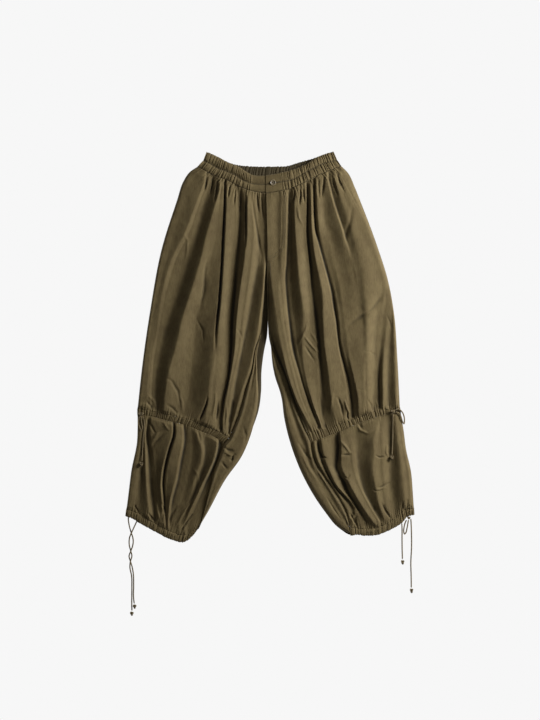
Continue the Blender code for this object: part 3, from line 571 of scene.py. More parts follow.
seat_left = moved(WAIST_SEAM_LEFT[:-1] + [(-4, 384)], 1, -1.5)
seat_right = moved([(-1, 384)] + WAIST_SEAM_RIGHT[1:], -1, -1.5)
knee_left = [
    moved(KNEE_TOP_LEFT[:-1] + [(-48, -215)], 1, 0),
    moved(KNEE_FOOT_LEFT[:-1] + [(-52, -228)], 1, 0),
]
knee_right = [
    moved([(48, -215)] + KNEE_TOP_RIGHT[1:], -1, 0),
    moved([(52, -228)] + KNEE_FOOT_RIGHT[1:], -1, 0),
]
hem_left = [moved(HEM_TOP_LEFT, 1, 0), moved(HEM_FOOT_LEFT, 1, 1)]
hem_right = [moved([(171, -447)] + HEM_TOP_RIGHT, -1, 0), moved([(178, -455)] + HEM_FOOT_RIGHT, -1, 1)]
outer = {"left": moved(OUTER_LEFT, 1, 0), "right": moved(OUTER_RIGHT, -1, 0)}
shin = {"left": moved(SHIN_LEFT, 1, 0), "right": moved(SHIN_RIGHT, -1, 0)}
for side, seat, knee, hem, inner, lower, flat, area in (
    ("left", seat_left, knee_left, hem_left, BACK_INNER_LEFT, BACK_SHIN_LEFT, (0.33, 0.65), 0.178),
    ("right", seat_right, knee_right, hem_right, BACK_INNER_RIGHT, BACK_SHIN_RIGHT, (0.33, 0.65), 0.183),
):
    pair = (outer[side], inner) if side == "left" else (inner, outer[side])
    seat_foot = moved(knee[0], 0, BACK_GAP)
    seat_panel = back_plate(f"back_{side}_cloth", f"back_{side}", seat, seat_foot, *pair, 60, 40)
    casing = back_plate(
        f"knee_back_{side}_cloth",
        f"knee_back_{side}",
        moved(knee[0], 0, -BACK_GAP),
        moved(knee[1], 0, BACK_GAP),
        [knee[0][0], knee[1][0]],
        [knee[0][-1], knee[1][-1]],
        4,
        40,
    )
    pair = (shin[side], lower) if side == "left" else (lower, shin[side])
    calf_panel = back_plate(
        f"back_lower_{side}_cloth",
        f"back_lower_{side}",
        moved(knee[1], 0, -BACK_GAP),
        moved(hem[0], 0, BACK_GAP),
        *pair,
        30,
        40,
    )
    hem_strip = back_plate(
        f"hem_back_{side}_cloth",
        f"hem_back_{side}",
        moved(hem[0], 0, -BACK_GAP),
        hem[1],
        [hem[0][0], hem[1][0]],
        [hem[0][-1], hem[1][-1]],
        4,
        40,
    )


# Front panels.
# One wide panel to each leg, gathered to the waistband above and to the knee casing below. The folds run
# lengthwise. Each has its own row: a light flank falls to the right of a crest and a dark one to its left.
SQUARE = 2.5
SHEET_MIDDLE = (269.5, 347.5)


def on_sheet(points):
    """Places on the layout sheet, in squares, as x and y in millimetres from the frame's origin."""
    points = np.asarray(points, float)
    return np.stack(
        [(points[..., 0] - SHEET_MIDDLE[0]) * SQUARE, (SHEET_MIDDLE[1] - points[..., 1]) * SQUARE], axis=-1
    )


# name, sharpness from 0 (round) to 1 (creased), then places down the sheet: y, x, height in millimetres
LEFT_FOLDS = [
    ("outer seam", 1, [
        (165, 198, 9), (185, 181.5, 10), (210, 175, 11), (235, 166, 11.5), (260, 160, 12),
        (290, 153.5, 12.5), (320, 149, 12), (350, 144.5, 12), (380, 140.5, 14), (412, 137.5, 12),
    ]),
    ("side roll", 0, [
        (170, 200, 11), (185, 187, 12), (210, 181, 12), (235, 173, 12), (260, 166, 12), (290, 159, 11),
        (320, 153, 10), (350, 150, 11), (380, 147.5, 13), (412, 146, 12),
    ]),
    ("hip ridge", 0.5, [
        (178, 206, 14), (210, 194, 15), (232, 185.5, 16), (258, 172.5, 14), (278, 166, 13),
        (300, 161, 11.5), (330, 157, 10), (350, 153, 10), (380, 150.5, 11), (412, 150, 10),
    ]),
    ("hip ridge's foot", 0.3, [
        (178, 208.5, 9), (210, 198, 9.5), (235, 189.5, 10), (258, 177.5, 9), (278, 171, 9), (300, 165, 9),
        (330, 160, 8), (350, 156, 7), (380, 152.8, 7), (412, 152.3, 7),
    ]),
    ("side valley", 0, [
        (178, 212, 6), (205, 205, 6), (235, 197, 6), (260, 189, 6), (290, 179, 5.5), (320, 169, 5),
        (350, 161, 5), (380, 156.5, 5), (412, 156, 5),
    ]),
    ("wide crest", 0.6, [
        (178, 220.5, 13), (185, 220.5, 15), (210, 214, 18), (237, 206.5, 20), (260, 201, 21),
        (290, 192, 22), (320, 182.5, 22), (350, 175.5, 21), (371, 169.5, 20), (392, 166, 18),
        (412, 164, 14),
    ]),
    ("wide flank's foot", 0.3, [
        (178, 222, 11), (210, 219.5, 14), (237, 217, 15), (260, 211.5, 14), (290, 205, 11.5),
        (320, 197, 8.5), (350, 194, 6.5), (380, 190.5, 6), (400, 187.5, 6), (415, 184, 6),
    ]),
    ("lip", 0.8, [
        (178, 223.6, 11), (210, 223, 13), (235, 221.9, 14), (260, 220.6, 15), (290, 218.6, 16),
        (309, 217, 16.5), (320, 215.8, 17), (335, 214.6, 18), (350, 213.6, 19), (380, 210, 20),
        (400, 208.2, 19), (415, 206, 15),
    ]),
    ("deep crevice", 1, [
        (178, 225, 4), (210, 224.6, 3.5), (235, 223.4, 3.5), (260, 222.1, 3.5), (290, 220.2, 3.5),
        (309, 218.8, 4), (320, 217.4, 7), (335, 216, 14), (350, 215.2, 18.5), (380, 212, 19.3),
        (400, 210, 18), (415, 208, 14),
    ]),
    ("thigh crest", 0.4, [
        (178, 227, 12), (210, 226.4, 16), (235, 225.3, 18), (260, 224, 19), (290, 222, 19.5),
        (309, 220.5, 20), (320, 219.2, 20), (335, 218, 19.5), (350, 217.5, 18.2), (380, 215, 17.5),
        (400, 213, 16), (415, 211, 13),
    ]),
    ("thigh flank's foot", 0.6, [
        (178, 233, 10), (210, 236.3, 10), (235, 235.8, 9), (260, 233.4, 8), (290, 231.8, 8),
        (320, 229.6, 8), (350, 228.8, 8), (380, 227, 8), (400, 222.5, 6), (418, 220.3, 5),
    ]),
    ("thigh crevice", 0.5, [
        (178, 236, 5), (210, 240, 4), (235, 239.5, 3.5), (260, 237, 3.5), (290, 234.5, 3.5),
        (320, 231.9, 3.5), (350, 231, 3.5), (380, 228.2, 3.5), (400, 223.8, 3.5), (418, 221.3, 4),
    ]),
    ("inner crest", 0.7, [
        (178, 246.5, 11), (210, 247.2, 17), (235, 246.5, 20), (260, 244.5, 21), (290, 240, 21),
        (320, 236.6, 20), (350, 234.6, 18), (380, 229.6, 15), (400, 225.6, 13), (418, 223, 11),
    ]),
    ("inner flank", 0, [
        (178, 251, 11), (210, 252, 14), (235, 253, 17), (260, 251, 18), (290, 247, 17), (320, 242.5, 15),
        (350, 239, 13), (380, 232, 12), (400, 228.5, 11), (418, 225.5, 9),
    ]),
    ("inner valley", 0.3, [
        (178, 257, 8), (210, 258, 8), (235, 259.5, 9), (262, 258.5, 9), (290, 254, 8), (320, 249, 7),
        (350, 242.5, 6), (372, 238.5, 4.5), (385, 236, 4), (400, 234, 4), (415, 231.5, 4), (428, 229.5, 4),
    ]),
    ("rim crest", 0.4, [
        (190, 262, 8), (235, 263.5, 8.8), (255, 264, 9.4), (268, 264.3, 14), (290, 263, 16),
        (320, 259.5, 16), (350, 254.3, 13), (370, 249, 11), (390, 242, 10), (415, 235, 9), (432, 229.8, 7),
    ]),
    ("inner seam", 1, [
        (190, 266, 8), (235, 266.6, 8.6), (262, 267, 8), (300, 264, 9), (320, 261.5, 9), (338, 259, 8),
        (348, 255.2, 7), (368, 252, 6), (390, 245, 6), (415, 238, 6), (437, 229, 6),
    ]),
]
RIGHT_FOLDS = [
    ("centre seam", 1, [
        (190, 266, 11), (262, 267, 11), (280, 267.5, 9), (300, 268, 8), (335, 269.3, 7), (350, 274.5, 6),
        (372, 284, 6), (397, 293, 6), (418, 301, 6), (434, 307.5, 6),
    ]),
    ("centre crest", 0.4, [
        (190, 269.5, 11), (235, 270, 11.5), (262, 270.5, 12), (290, 272.5, 17), (320, 277, 19),
        (345, 281, 20), (352, 282.7, 20), (370, 286.5, 20), (385, 291, 19), (400, 296.5, 17),
        (415, 304, 14), (428, 311, 10),
    ]),
    ("fly dip", 0, [
        (190, 277, 9), (235, 277, 9.5), (262, 277.5, 11), (290, 278, 17), (320, 281, 18.5),
        (345, 285.5, 18.5), (370, 291, 17.5), (400, 300.5, 14.5), (415, 307, 12), (428, 313, 9),
    ]),
    ("fly ridge", 0, [
        (190, 283, 11), (235, 282.5, 12), (262, 281.5, 13), (290, 282, 15), (320, 285, 16),
        (345, 289.3, 15.5), (370, 295.3, 14), (400, 303, 12), (415, 309, 10), (428, 314.5, 8.5),
    ]),
    ("fly edge", 0.7, [
        (190, 287.3, 10), (235, 286.1, 11), (262, 285.1, 12), (278, 284, 12.5), (290, 284.8, 12.5),
        (309, 286.3, 13), (320, 287.6, 13), (345, 290.8, 13), (352, 292, 13), (370, 297.3, 12),
        (392, 303.7, 11), (407, 308.8, 9.5), (425, 316, 8),
    ]),
    ("fly crevice", 1, [
        (190, 289.2, 3.5), (235, 288, 3.5), (262, 287, 3.5), (278, 285.7, 3.5), (290, 286.4, 3.5),
        (309, 288, 4), (320, 289.2, 4), (345, 292.4, 4), (352, 293.7, 5), (370, 298.7, 8), (392, 305.2, 6),
        (407, 310.5, 4), (425, 318, 4),
    ]),
    ("crevice's foot", 0, [
        (190, 291, 6), (235, 290.7, 5), (262, 289.8, 5), (290, 289.6, 5), (320, 293, 6), (345, 296.5, 8),
        (370, 301.5, 11.5), (392, 307.5, 10), (407, 313, 7), (425, 320.5, 6),
    ]),
    ("belly crest", 0.4, [
        (190, 294, 12), (235, 295.5, 16), (260, 297.5, 18), (290, 300.5, 19), (305, 302.5, 18),
        (320, 303.5, 15), (335, 303, 14), (350, 302.5, 14), (370, 304.5, 14), (400, 311.5, 13),
        (420, 317.5, 11),
    ]),
    ("belly flank's foot", 0.4, [
        (184, 305.3, 10), (205, 306, 10), (235, 305.6, 10), (260, 307.8, 9), (290, 309.6, 8.5),
        (310, 311.8, 8), (330, 313.5, 9), (345, 315, 10), (370, 317, 10), (400, 318, 8), (422, 320.5, 7),
    ]),
    ("belly crevice", 0.6, [
        (184, 306.8, 3.5), (205, 307.2, 3.5), (226, 306.9, 3.5), (240, 307.6, 3.5), (260, 309.9, 3.5),
        (290, 312.4, 4), (310, 315, 4), (330, 317.5, 5), (345, 319, 5.5), (370, 321, 5.5), (400, 323, 5),
        (422, 325, 5),
    ]),
    ("thigh crest", 0.5, [
        (184, 310.3, 10), (205, 311, 14), (235, 312.2, 17), (255, 314.5, 18), (272, 318, 19),
        (290, 321.8, 20), (320, 323, 20.5), (345, 324.3, 20), (370, 328, 19), (400, 331.5, 16),
        (415, 334, 13), (422, 336, 11),
    ]),
    ("thigh lip", 0.8, [
        (182, 312.3, 9), (205, 312.6, 12), (220, 313.1, 13), (232, 314.1, 14), (242, 316.8, 14),
        (265, 323, 13.5), (278, 326.5, 13), (290, 329.5, 13), (309, 332.5, 13), (320, 334.5, 13),
        (345, 337.5, 13), (366, 341.5, 13), (380, 344.5, 12), (392, 346, 11), (405, 347.2, 11),
        (417, 347.5, 10),
    ]),
    ("thigh crevice", 1, [
        (182, 313.8, 3.5), (205, 314.1, 3.5), (220, 314.7, 3.5), (232, 315.8, 3.5), (242, 318.5, 3.5),
        (265, 324.8, 3.5), (278, 328.3, 3.5), (290, 331.3, 3.5), (309, 334.3, 4), (320, 336.2, 5),
        (345, 339.2, 7), (366, 344.3, 5), (380, 348.3, 3.5), (392, 350.3, 3.5), (405, 352, 3.5),
        (417, 352.5, 3.5),
    ]),
    ("crevice's far side", 0, [
        (182, 316, 12), (205, 317, 13), (220, 318, 13), (232, 319.5, 10), (242, 322, 7), (265, 328.5, 6),
        (290, 335, 8), (320, 339.5, 12), (345, 342, 13), (366, 348, 12), (380, 352, 10), (392, 354, 10),
        (417, 356, 9),
    ]),
    ("broad valley", 0, [
        (182, 322, 11), (205, 324, 9), (225, 326, 7), (235, 329, 6.5), (260, 334.5, 7.5), (290, 340.5, 11),
        (320, 345, 14), (345, 348, 16), (370, 352, 17), (400, 358, 17), (417, 359, 13),
    ]),
    ("hip lip", 0.6, [
        (178, 326.6, 12), (204, 333.2, 14), (226, 340.3, 14.5), (245, 346, 14), (260, 350, 13.5),
        (290, 356, 14), (320, 360, 15), (350, 361, 17), (380, 361, 17.5), (410, 362, 14.5),
    ]),
    ("hip drop", 0.6, [
        (178, 328.6, 6), (204, 335.2, 8), (226, 342.2, 9.5), (245, 348, 12), (260, 352.5, 14.2),
        (290, 358, 14.8), (320, 362, 15.4), (350, 363, 17), (380, 363, 17.5), (410, 364, 14.2),
    ]),
    ("hip crest", 0, [
        (178, 334, 12), (204, 343, 14.5), (226, 351, 16), (245, 357, 17), (260, 361, 17.5), (290, 365, 18),
        (320, 366, 18), (350, 366, 17.5), (380, 366, 16), (410, 367, 13),
    ]),
    ("side flank's foot", 0.2, [
        (178, 337, 11), (204, 348, 13.5), (226, 360, 14.5), (245, 370, 13.5), (265, 378, 12),
        (282, 383, 10.5), (300, 382.5, 9), (320, 378.5, 7), (340, 376.5, 6), (360, 376, 5.5),
        (380, 375.5, 5.5), (400, 374.8, 5), (412, 375.2, 5),
    ]),
    ("side crevice", 0.3, [
        (178, 339, 11), (204, 350, 13.3), (226, 362, 14), (245, 372, 13.2), (265, 380, 11.8),
        (282, 386, 10), (300, 386, 7), (320, 383, 6), (345, 380.7, 5), (372, 378.7, 4), (400, 379, 3.5),
        (412, 379, 3.5),
    ]),
    ("side strip", 0.2, [
        (178, 340, 11), (204, 352, 13), (226, 364, 13.5), (245, 374, 13), (265, 382, 11.6), (282, 388, 10),
        (300, 389.5, 7), (320, 387, 7), (345, 384.5, 8), (372, 382.5, 11.5), (400, 382.7, 12),
        (412, 382.5, 10),
    ]),
    ("side dip", 0, [
        (178, 341, 11), (204, 353.5, 12.5), (226, 366, 13), (245, 376, 13), (265, 384, 12.5),
        (282, 389.5, 11), (300, 391.3, 8), (320, 391, 6.5), (345, 389.5, 6), (372, 388.5, 6),
        (400, 388.5, 6), (412, 388.5, 6),
    ]),
    ("side rim", 0, [
        (178, 342, 10), (204, 357, 11), (226, 370, 11.5), (245, 379, 11.5), (265, 386.5, 11),
        (282, 390.7, 11), (300, 393, 11), (320, 395, 12), (345, 396, 12), (372, 396.3, 12.5),
        (400, 396.5, 13), (412, 397, 11),
    ]),
    ("outer seam", 1, [
        (166, 343, 6), (185, 354, 6), (210, 364, 6), (235, 374, 6), (260, 382.5, 6), (290, 391.3, 6),
        (320, 395.5, 6), (350, 397.3, 6), (380, 398.6, 6), (412, 400, 6),
    ]),
]

# Creases that lie across or between the folds: width and depth in millimetres, lean, and their route.
# A depth under 0 is a trough, and the lean raises the route's left side and lowers its right one.
LEFT_CREASES = [
    (2.6, -6, 0, [(207, 171), (206.4, 182), (204.5, 192)]),
    (3.0, -4, 0, [(213, 174), (212.5, 184), (210, 196)]),
    (3.0, -5, 0, [(217.5, 178), (217, 190), (214.5, 203)]),
    (2.4, -5, 0, [(230, 183), (229.4, 190), (227.7, 199)]),
    (2.4, -4, 0, [(235.3, 186), (235, 196), (234, 206)]),
    (2.4, -4, 0, [(240.5, 188), (241, 200), (240, 212)]),
    (2.2, -9, 0, [(246, 190), (246, 212), (246, 236), (245, 250)]),
    (4.0, -3, 1.5, [(251, 190), (254.5, 215), (259.5, 245), (263, 262)]),
    (2.4, -3, 0, [(256.5, 192), (257.5, 202), (259, 214)]),
    (2.4, -3, 0, [(261, 193), (262, 206), (263.5, 222)]),
    (4.0, 1.6, 0.8, [(183, 233), (187.5, 241), (187, 252), (185, 262)]),
    (5.0, -2.2, 0, [(208, 256), (205, 272), (204, 290), (200, 312)]),
    (3.0, -1.6, 0.6, [(196, 318), (203, 330), (204, 344)]),
    (3.0, -1.6, 0, [(236, 327), (241, 334), (243, 343)]),
    (4.0, 2.4, 0, [(143, 399), (149, 396), (154, 401), (157, 411)]),
    (3.0, -2.6, 0, [(141, 404), (147, 401.5), (151, 406), (152, 412)]),
    (4.0, 2.2, 0, [(179, 393), (182, 402), (183, 412)]),
    (4.0, -2.4, 0, [(164, 376), (172, 381), (178, 391), (181, 405)]),
    (3.4, -2.6, 0, [(166, 404), (173, 408), (178, 414)]),
    (2.6, -9, 0, [(208, 396), (206.5, 404), (202.5, 414), (198.5, 422)]),
    (3.0, 2.6, 0, [(216, 390), (215.5, 402), (213, 414), (214, 420)]),
    (2.6, -4, 0, [(218.5, 400), (217.5, 412), (216, 422)]),
    (3.0, -4, 0, [(233, 398), (231.5, 412), (228.5, 424)]),
    (2.4, 2.2, 0, [(226.5, 404), (227, 416), (225, 428)]),
]
RIGHT_CREASES = [
    (2.2, -6, 0, [(294.5, 189), (294, 197), (292.5, 205)]),
    (2.4, -6, 0, [(299.7, 187), (300.5, 196), (299, 206)]),
    (2.4, -4, 0, [(303, 186), (303.5, 194), (304.5, 204)]),
    (2.4, -3, 0, [(318, 176), (318.5, 188), (319, 200)]),
    (2.6, -4, 0, [(324, 174), (323.5, 184), (321.5, 198)]),
    (3.0, -4, 0, [(331.5, 172), (333.5, 184), (338, 198)]),
    (3.0, -3, 0, [(336, 171), (339, 182), (345, 194)]),
    (3.2, 2, 0, [(297, 205), (299, 218), (303, 226)]),
    (6.0, -2.4, 1.2, [(352.5, 205), (350, 222), (345.5, 238), (347, 250)]),
    (8.0, -3.0, 2.2, [(386, 287), (379, 301), (371, 311), (356, 321), (342, 331)]),
    (2.2, -1.2, 0, [(386, 314), (389.5, 322), (392, 331)]),
    (3.0, 2.2, -0.8, [(296, 349), (300, 341), (305, 331), (308, 320)]),
    (3.0, 2.4, 0.8, [(303, 335), (309, 343), (315, 350), (320, 353)]),
    (3.0, -2.2, 0, [(304, 345), (310, 354), (315, 362)]),
    (3.0, 2.0, 0.8, [(310, 332), (315, 339), (319, 347)]),
    (1.6, -0.9, 0, [(362, 350.5), (370, 352), (378, 356)]),
    (1.6, -0.8, 0, [(354, 388), (362, 390), (369, 389)]),
    (4.0, 2.0, 0, [(333, 392), (331, 402), (330, 414)]),
    (3.2, -4, 0, [(337, 396), (341, 406), (343, 417)]),
    (2.6, 3.2, 0, [(344, 399), (346.5, 407), (349.5, 414)]),
    (2.4, -6, 0, [(347.4, 411), (347.2, 416), (348.5, 421)]),
    (4.0, -2.6, 0, [(320, 396), (322, 408), (323, 422)]),
    (3.0, 2.0, 0, [(375, 400), (377.5, 405), (377.5, 411)]),
    (3.0, -2.0, 0, [(366, 398), (371, 405), (372, 413)]),
]


CREST_GAP = 1.2


def laid_height(folds, x, y):
    """Height of cloth that lies over its folds. A cubic through each fold's places gives where it is and how
    high at every y, and between two folds the height goes over on a cubic that is flat at a round fold and
    straight at a creased one. Neighbouring folds stay at least CREST_GAP apart."""
    places, heights = [], []
    for _, _, rows in folds:
        rows = np.array(rows, float)
        spots = on_sheet(rows[:, [1, 0]])
        order = np.argsort(spots[:, 1])
        places.append(through(spots[order, 1], spots[order, 0], y))
        heights.append(through(spots[order, 1], rows[order, 2], y))
    least = np.arange(len(folds))[:, None, None] * CREST_GAP
    places = np.maximum.accumulate(np.array(places) - least, axis=0) + least
    height = np.where(x < places[0], heights[0], heights[-1])
    for k in range(len(folds) - 1):
        t = np.clip((x - places[k]) / (places[k + 1] - places[k]), 0, 1)
        sharp, next_sharp = folds[k][1], folds[k + 1][1]
        blend = 3 * t**2 - 2 * t**3 + sharp * (t**3 - 2 * t**2 + t) + next_sharp * (t**3 - t**2)
        inside = (x >= places[k]) & (x < places[k + 1])
        height = np.where(inside, heights[k] + (heights[k + 1] - heights[k]) * blend, height)
    return height


def crease_height(creases, x, y):
    """Sum of soft troughs and ridges: each is a bell across its route, which fades at both ends, and a lean
    is that bell times the signed distance from the route."""
    total = np.zeros_like(x)
    for width, depth, lean, route in creases:
        route = on_sheet(route)
        steps = np.linalg.norm(np.diff(route, axis=0), axis=1)
        starts = np.concatenate([[0], np.cumsum(steps)])
        nearest = np.full(x.shape, 1e9)
        signed = np.zeros_like(x)
        share = np.zeros_like(x)
        for (ax, ay), (bx, by), step, start in zip(route[:-1], route[1:], steps, starts[:-1]):
            dx, dy = (bx - ax) / step, (by - ay) / step
            along = np.clip((x - ax) * dx + (y - ay) * dy, 0, step)
            away = np.hypot(x - ax - dx * along, y - ay - dy * along)
            closer = away < nearest
            nearest = np.where(closer, away, nearest)
            signed = np.where(closer, (x - ax) * dy - (y - ay) * dx, signed)
            share = np.where(closer, (start + along) / starts[-1], share)
        fade = np.clip(4 * share * (1 - share), 0, 1) ** 1.1
        bell = np.exp(-((nearest / (0.85 * width)) ** 2)) * fade
        total += depth * bell + lean * (-signed / width) * bell
    return total


def rounded(distance, radius):
    """From 0 at an edge to 1 at this radius, along a quarter circle."""
    return np.sqrt(1 - (1 - np.clip(distance / radius, 0, 1)) ** 2)


def pleat_phase(share, count, shift):
    """Counts up the pleats along a gathered seam. Three sines make them uneven in width."""
    slow, quick = 0.5 * np.sin(share * 19 + shift), 0.28 * np.sin(share * 47 + 2 * shift)
    return share * count + slow + quick + 0.2 * np.sin(share * 83)


def gathers(share, distance, count, depth, reach, shift):
    """Small pleats that run from a gathered seam and die out: rounded tops between narrow valleys, each with
    its own width and length."""
    phase = pleat_phase(share, count, shift)
    own = np.sin(np.floor(phase) * 2.4 + shift) ** 2
    length = reach * (0.35 + 0.9 * own)
    pleat = np.abs(np.sin(np.pi * phase)) ** 0.8 - 0.6
    return depth * (0.55 + 0.45 * own) * pleat * np.exp(-((distance / length) ** 1.5))


LEAST_HEIGHT, MOST_HEIGHT = 3.2, 24.5


def front_panel(name, node, folds, creases, top, foot, left, right, rows, columns, sides, ends):
    """A folded panel. sides are its left and right edges' (height, radius of the roll), and ends its top and
    foot seams' (height, share of the folds left there, reach, number of gathers, their depth and reach)."""
    plan, across, down = patch(top, foot, left, right, rows, columns)
    x, y = plan[..., 0], plan[..., 1]
    height = laid_height(folds, x, y) + crease_height(creases, x, y)
    height += 0.55 * soft_noise(x, y * 0.4, 22, 5) + 0.22 * soft_noise(x, y * 0.6, 8, 9)
    for edge, (level, radius) in ((0, sides[0]), (-1, sides[1])):
        distance = np.linalg.norm(plan - plan[:, edge : edge + 1 or None][:, :1], axis=2)
        height = level + (height - level) * rounded(distance, radius)
    for edge, (level, share, reach, count, depth, run) in ((0, ends[0]), (-1, ends[1])):
        distance = np.linalg.norm(plan - plan[edge], axis=2)
        near = np.clip(distance / reach, 0, 1)
        height = level + (height - level) * (share + (1 - share) * near * near * (3 - 2 * near))
        height += gathers(across, distance, count, depth, run, 1.3 + edge)
    height = np.clip(height, LEAST_HEIGHT, MOST_HEIGHT)
    made, grid = cloth_shell(name, plan, height, olive)
    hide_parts(node)
    return made, grid


front_left, left_grid = front_panel(
    "front_left_cloth",
    "front_left",
    LEFT_FOLDS,
    LEFT_CREASES,
    moved(WAIST_SEAM_LEFT, -GAP, -GAP),
    moved(KNEE_TOP_LEFT, -GAP, GAP),
    moved(OUTER_LEFT, -GAP, 0),
    moved(CENTRE_LEFT + LEG_SEAM_LEFT[1:], -GAP, 0),
    rows=250,
    columns=188,
    sides=((3.4, 6), (5.5, 3)),
    ends=((7, 0.5, 20, 22, 2.6, 24), (8.4, 0.14, 10, 38, 3.4, 12)),
)
front_right, right_grid = front_panel(
    "front_right_cloth",
    "front_right",
    RIGHT_FOLDS,
    RIGHT_CREASES,
    moved(WAIST_SEAM_RIGHT, GAP, -GAP),
    moved(KNEE_TOP_RIGHT, GAP, GAP),
    moved(CENTRE_RIGHT + LEG_SEAM_RIGHT[1:], GAP, 0),
    moved(OUTER_RIGHT, GAP, 0),
    rows=250,
    columns=188,
    sides=((10.5, 2), (3.4, 12)),
    ends=((7, 0.55, 18, 22, 2.4, 22), (8.4, 0.14, 10, 38, 3.4, 12)),
)


# Fly.
# The right front's edge laps over the left one and is stitched down with two rows that curve to the centre.
def drop(points, grid):
    """Height of the cloth's nearest grid point under each point."""
    spots = grid.reshape(-1, 3)
    nearest = [np.argmin((spots[:, 0] - px) ** 2 + (spots[:, 1] - py) ** 2) for px, py in points]
    return spots[nearest, 2]


fly_rows, fly_columns = 90, 30
fly_share = np.linspace(0, 1, fly_columns)
fly_top = smooth_curve(moved(WAIST_SEAM_RIGHT, GAP, -GAP), fly_share * 0.205)
fly_foot_y = 214 + 35 * (1 - np.sqrt(1 - 0.98 * fly_share**2))
fly_y = fly_top[:, 1][None] + (fly_foot_y - fly_top[:, 1])[None] * np.linspace(0, 1, fly_rows)[:, None]
fly_edge = through([181, 226, 384], [-5.4, -5.4, -8.4], fly_y)
fly_x = fly_edge + (fly_top[-1, 0] + 1 - 0.03 * (384 - fly_y) - fly_edge) * fly_share[None]
fly_plan = np.dstack([fly_x, fly_y])
fly_height = drop(fly_plan.reshape(-1, 2), right_grid).reshape(fly_x.shape)
# The outer row of stitches, in the layout sheet's squares. Each row sinks a groove into the cloth.
outer_row = [
    (266.8, 259), (271, 258.4), (276, 256), (281, 252), (284.3, 246), (285.3, 238), (285.6, 215),
    (285.8, 193),
]
inner_row = [(x - 1.7, y - 1.8) for x, y in outer_row]
fly_grooves = [
    (1.5, -1.3, 0, [(260, 259.4)] + outer_row + [(286, 180)]),
    (1.4, -1.0, 0, [(260, 257.6)] + inner_row + [(284, 180)]),
]
fly_height = mean_around(fly_height, 1) + 1.2 + crease_height(fly_grooves, fly_x, fly_y)
fly, fly_grid = cloth_shell("fly_cloth", fly_plan, fly_height, olive, thick=0.9, under=fly_height - 1.0)
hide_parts("fly")


# Waistband.
# A double casing of twill with two rows of elastic, gathered evenly. Its left end passes flat under the right
# one, which carries a buttonhole.
def gathered_band(
    name,
    node,
    lines,
    count,
    level,
    puff,
    depth,
    finish,
    flat=(0, 0),
    under=3.4,
    per=12,
    shift=0.0,
    scallop=(0, 0),
    falls=False,
):
    """Stitched channels between lines: each lies at its level, is puffed between its stitch rows, or falls
    off from the first one, and has count pleats of this depth, with rounded tops and narrow valleys. flat is
    the share at each end without pleats, per the columns of a pleat, and scallop how far the pleats move the
    top and foot lines."""
    columns, steps = count * per + 1, 9
    share = np.linspace(0, 1, columns)
    curves = [smooth_curve(line, share) for line in lines]
    inside = np.ones_like(share)
    if flat[0]:
        inside *= np.clip((share - flat[0]) / 0.03, 0, 1)
    if flat[1]:
        inside *= np.clip((1 - flat[1] - share) / 0.03, 0, 1)
    plan, height = [], []
    for channel, (upper, lower) in enumerate(zip(curves[:-1], curves[1:])):
        last = channel + 2 == len(curves)
        for t in np.linspace(0, 1, steps)[: None if last else -1]:
            lean = 0.22 * np.sin(share * 61 + channel * 2.2) * (t - 0.5)
            phase = pleat_phase(share, count, shift + 1.1 * channel) + lean
            own = 0.7 + 0.3 * np.sin(np.floor(phase) * 1.9 + channel)
            pleat = (np.abs(np.sin(np.pi * phase)) ** 0.65 - 0.62) * own * inside
            swell = math.cos(0.5 * math.pi * t) if falls else math.sin(math.pi * t)
            row = upper + (lower - upper) * t
            outside = (t == 0 and channel == 0) * scallop[0] - (t == 1 and last) * scallop[1]
            plan.append(row + np.column_stack([0 * pleat, outside * pleat]))
            wide = 0.8 * soft_noise(row[:, 0], row[:, 1] * 0, 21, 12)
            height.append(level + wide + puff * swell**0.6 + depth * pleat * (0.5 + 0.5 * swell))
    plan, height = np.array(plan), np.array(height)
    under = np.full(height.shape, under)
    made, grid = cloth_shell(name, plan, height, finish, thick=1.2, under=under, reach=5)
    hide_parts(node)
    return made, grid


band_left, band_left_grid = gathered_band(
    "waistband_left_cloth",
    "waistband_left",
    [WAIST_TOP_LEFT, WAIST_MID_LEFT, moved(WAIST_SEAM_LEFT, 0, GAP)],
    count=22, level=6.4, puff=3.2, depth=3.6, finish=olive,
    flat=(0, 0.2), shift=0.4, scallop=(1.4, 0),
)
band_right, band_right_grid = gathered_band(
    "waistband_right_cloth",
    "waistband_right",
    [moved(WAIST_TOP_RIGHT, GAP, 0), moved(WAIST_MID_RIGHT, GAP, 0), moved(WAIST_SEAM_RIGHT, GAP, GAP)],
    count=23, level=7.4, puff=3.2, depth=3.6, finish=olive,
    flat=(0.2, 0), shift=1.9, scallop=(1.4, 0),
)
back_seam = [(x, y + 2) for x, y in WAIST_SEAM_LEFT[:-1] + WAIST_SEAM_RIGHT if abs(x) < 178]
back_seam = smooth_curve(back_seam, np.linspace(0, 1, len(WAIST_TOP_BACK)))
back_middle = (np.array(WAIST_TOP_BACK) + back_seam) / 2
# The back waistband's inside takes the darker twill copy, which paints its shade.
band_back, _ = gathered_band(
    "waistband_back_cloth",
    "waistband_back",
    [WAIST_TOP_BACK, back_middle, back_seam],
    count=44, level=2.2, puff=0.4, depth=2.2, finish=shaded_twill,
    under=0.0, per=8, scallop=(2.2, 0),
)


